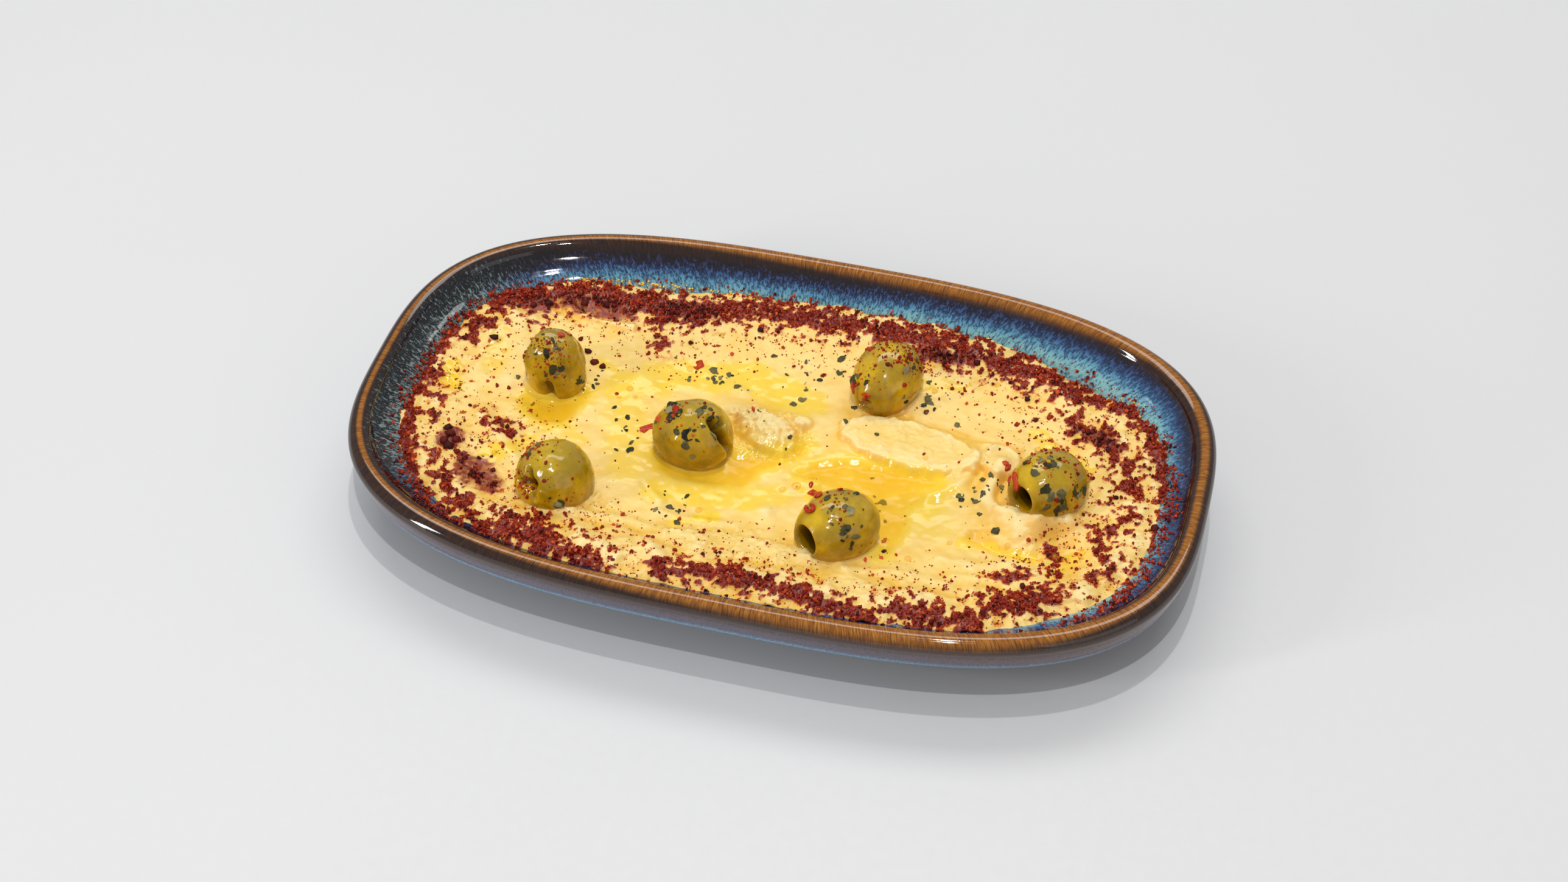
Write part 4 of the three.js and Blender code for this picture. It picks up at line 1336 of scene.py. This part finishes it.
def clots_piece(random, ground, material):
    """Dark lumps where oil has drawn the sumac together."""
    spots = seen_over(ground, [place for place, _ in CLOTS])
    radius = np.array([radius for _, radius in CLOTS])
    scale = radius[:, None] * random.uniform(0.7, 1.05, (len(radius), 3)) * (1, 1, 0.75)
    shapes = [crumb_shape(random, "sumac_crumbs") for _ in range(6)]
    tone = random.uniform(0.02, 0.3, len(radius))
    strew("sumac_clots", random, spots, 0.3, 0.3, shapes, scale, {"tone": tone}, material)


def flake_shape(random, thickness):
    """A thin, wavy, torn flake about two units long and wide."""
    made = bmesh.new()
    bmesh.ops.create_grid(made, x_segments=4, y_segments=2, size=1)
    points = points_of(made)
    across = np.sqrt(np.clip(1.08 - points[:, 0] ** 2, 0, 1))
    points[:, 1] *= across * random.uniform(0.7, 1.25, len(points))
    phase = random.uniform(0, 6)
    points[:, 2] = 0.16 * np.sin(2.6 * points[:, 0] + phase) + 0.1 * np.sin(3.1 * points[:, 1] + 2 * phase)
    move_points(made, points)
    bmesh.ops.solidify(made, geom=made.faces[:], thickness=thickness)
    bmesh.ops.triangulate(made, faces=made.faces)
    bmesh.ops.recalc_face_normals(made, faces=made.faces)
    return arrays_of(made)


def herbs_piece(random, ground, material):
    """Flakes of dried leaf on the hummus, small bits around them, and those stuck to the olives."""
    found = [seen_over(ground, [place for place, _ in HERBS])]
    lengths = [[length for _, length in HERBS]]
    for centre, spread, count in HERB_DUST:
        found.append(seen_over(ground, random.normal(centre, spread * 0.55, (count, 2))))
        lengths.append(0.6 + 1.5 * random.uniform(0, 1, count) ** 2)
    for node, toward, spread, count, _ in STUCK:
        found.append(on_olive(random, ground, node, toward, spread, count))
        lengths.append(0.9 + 2.6 * random.uniform(0, 1, count) ** 1.5)
    spots = [np.concatenate(parts) for parts in zip(*found)]
    length = np.concatenate(lengths)
    total = len(length)
    width = length * random.uniform(0.45, 0.85, total)
    scale = np.column_stack([length, width, length]) * 0.55
    tone = np.clip(random.normal(0.52, 0.24, total), 0, 1)
    shapes = [flake_shape(random, 0.16) for _ in range(7)]
    strew("dried_herbs", random, spots, 0.18, 0.3, shapes, scale, {"tone": tone}, material, smooth=False)


def ring_shape():
    """A cut ring about two units across, with its ends apart."""
    made = bmesh.new()
    bmesh.ops.create_circle(made, cap_ends=True, segments=7, radius=0.34)
    bmesh.ops.rotate(made, verts=made.verts, matrix=Matrix.Rotation(math.pi / 2, 3, "X"))
    bmesh.ops.translate(made, verts=made.verts, vec=(0.66, 0, 0))
    bmesh.ops.spin(made, geom=made.faces[:], axis=(0, 0, 1), cent=(0, 0, 0), steps=16, angle=5.4)
    bmesh.ops.triangulate(made, faces=made.faces)
    bmesh.ops.recalc_face_normals(made, faces=made.faces)
    return arrays_of(made)


def pepper_stuck_piece(random, ground, material):
    """Rings and bits of pepper that cling to the olives."""
    found = [on_olive(random, ground, node, toward, 0, 1) for node, toward, _, _ in PEPPER_STUCK]
    spots = [np.concatenate(parts) for parts in zip(*found)]
    sizes = np.array([size for _, _, size, _ in PEPPER_STUCK])
    shapes = [ring_shape() if ring else flake_shape(random, 0.9) for _, _, _, ring in PEPPER_STUCK]
    tone = random.uniform(0.4, 0.8, len(sizes))
    strew("red_pepper_on_olives", random, spots, 0.4, 0.1, shapes, sizes, {"tone": tone}, material)


def pepper_piece(random, ground, material):
    """Bits of pepper on the hummus."""
    spots = seen_over(ground, [place for place, _, _ in PEPPER])
    sizes = np.array([(length, width) for _, length, width in PEPPER])
    scale = np.column_stack([sizes / 2, sizes[:, 1] * 0.9])
    tone = np.clip(random.normal(0.5, 0.2, len(sizes)), 0, 1)
    shapes = [flake_shape(random, 0.5) for _ in range(4)]
    strew("red_pepper_bits", random, spots, 0.3, 0.2, shapes, scale, {"tone": tone}, material)


def drops_piece(random, ground, material):
    """Single drops of oil, as flat domes."""
    spots = seen_over(ground, [place for place, _ in DROPS])
    radius = np.array([radius for _, radius in DROPS])
    made = bmesh.new()
    bmesh.ops.create_icosphere(made, subdivisions=3, radius=1)
    scale = np.column_stack([radius * random.uniform(0.8, 1.2, len(radius)), radius, radius * 0.42])
    depth = np.full(len(radius), 0.85)
    strew("oil_drops", random, spots, 0, 0, [arrays_of(made)], scale, {"depth": depth}, material)


def flicked_piece(random, ground, material):
    """Crumbs of hummus on the wall above the spread."""
    places = []
    for line, spread, count in FLICKED:
        xs, ys = np.array(line, float).T
        share = random.uniform(0, len(xs) - 1, count)
        x = np.interp(share, range(len(xs)), xs) + random.normal(0, spread, count)
        y = np.interp(share, range(len(ys)), ys) + random.normal(0, spread * 0.5, count)
        places += list(zip(x, y))
    spots = seen_over(ground, places)
    total = len(spots[0])
    scale = random.uniform(0.12, 0.42, total)[:, None] * random.uniform(0.7, 1.2, (total, 3))
    shapes = [crumb_shape(random, "sumac_crumbs") for _ in range(5)]
    film = random.uniform(0, 1, total)
    strew("hummus_flecks", random, spots, 0, 1, shapes, scale, {"film": film}, material)


# ---- Stage ----


def camera():
    """The camera, from which the dish fills the middle of the picture."""
    made = bpy.data.cameras.new("camera")
    made.lens = CAMERA["lens"]
    made.sensor_width = CAMERA["sensor"]
    made.clip_start = 0.01
    seat = added("camera", made)
    seat.location = Vector(CAMERA["at"]) * METRES
    seat.rotation_euler = Vector(CAMERA["towards"]).to_track_quat("-Z", "Y").to_euler()
    bpy.context.scene.camera = seat


def floor_piece():
    """The table that the dish stands on."""
    made = bmesh.new()
    bmesh.ops.create_grid(made, x_segments=1, y_segments=1, size=FLOOR_HALF)
    placed("floor", mesh_of("floor", made), floor_material())


def area_light(name, towards, distance, size, power):
    """A lamp in the given direction from the dish, facing it."""
    made = bpy.data.lights.new(name, "AREA")
    made.shape = "RECTANGLE" if len(size) > 1 else "DISK"
    made.size = size[0]
    made.size_y = size[-1]
    made.energy = power
    lamp = added(name, made)
    way = Vector(towards).normalized()
    lamp.location = way * distance
    lamp.rotation_euler = (-way).to_track_quat("-Z", "Y").to_euler()


def lights():
    """The lamps and the even light around them."""
    for name, (towards, distance, size, power) in LAMPS.items():
        area_light(name, towards, distance, size, power)
    world = bpy.data.worlds.new("world")
    world.use_nodes = True
    sky = world.node_tree.nodes["Background"].inputs
    sky["Color"].default_value = (1, 1, 1, 1)
    sky["Strength"].default_value = SKY_STRENGTH
    bpy.context.scene.world = world
    bpy.context.scene.view_settings.view_transform = "Standard"


# ---- The filled dish ----


def build():
    """Makes the stage, then the dish and what is in it, then what is strewn over them."""
    random = np.random.default_rng(SEED)
    camera()
    floor_piece()
    lights()
    cream = hummus_material()
    oil = oil_material()
    skin = olive_material()
    sumac = sumac_material()
    pepper = pepper_material()
    pieces = [dish_piece(glaze_material()), hummus_piece(cream)]
    for node, outline in POOLS.items():
        oil_piece(node, outline, oil)
    for i, (node, olive) in enumerate(OLIVES.items()):
        pieces.append(olive_piece(node, olive, skin, 5.0 * i))
    ground = ground_of(pieces)
    for i, (name, kind) in enumerate(SUMAC.items()):
        sumac_piece(name, kind, random, ground, sumac, 41.0 + 2 * i)
    clots_piece(random, ground, sumac)
    herbs_piece(random, ground, herb_material())
    pepper_piece(random, ground, pepper)
    pepper_stuck_piece(random, ground, pepper)
    drops_piece(random, ground, oil)
    flicked_piece(random, ground, cream)


build()
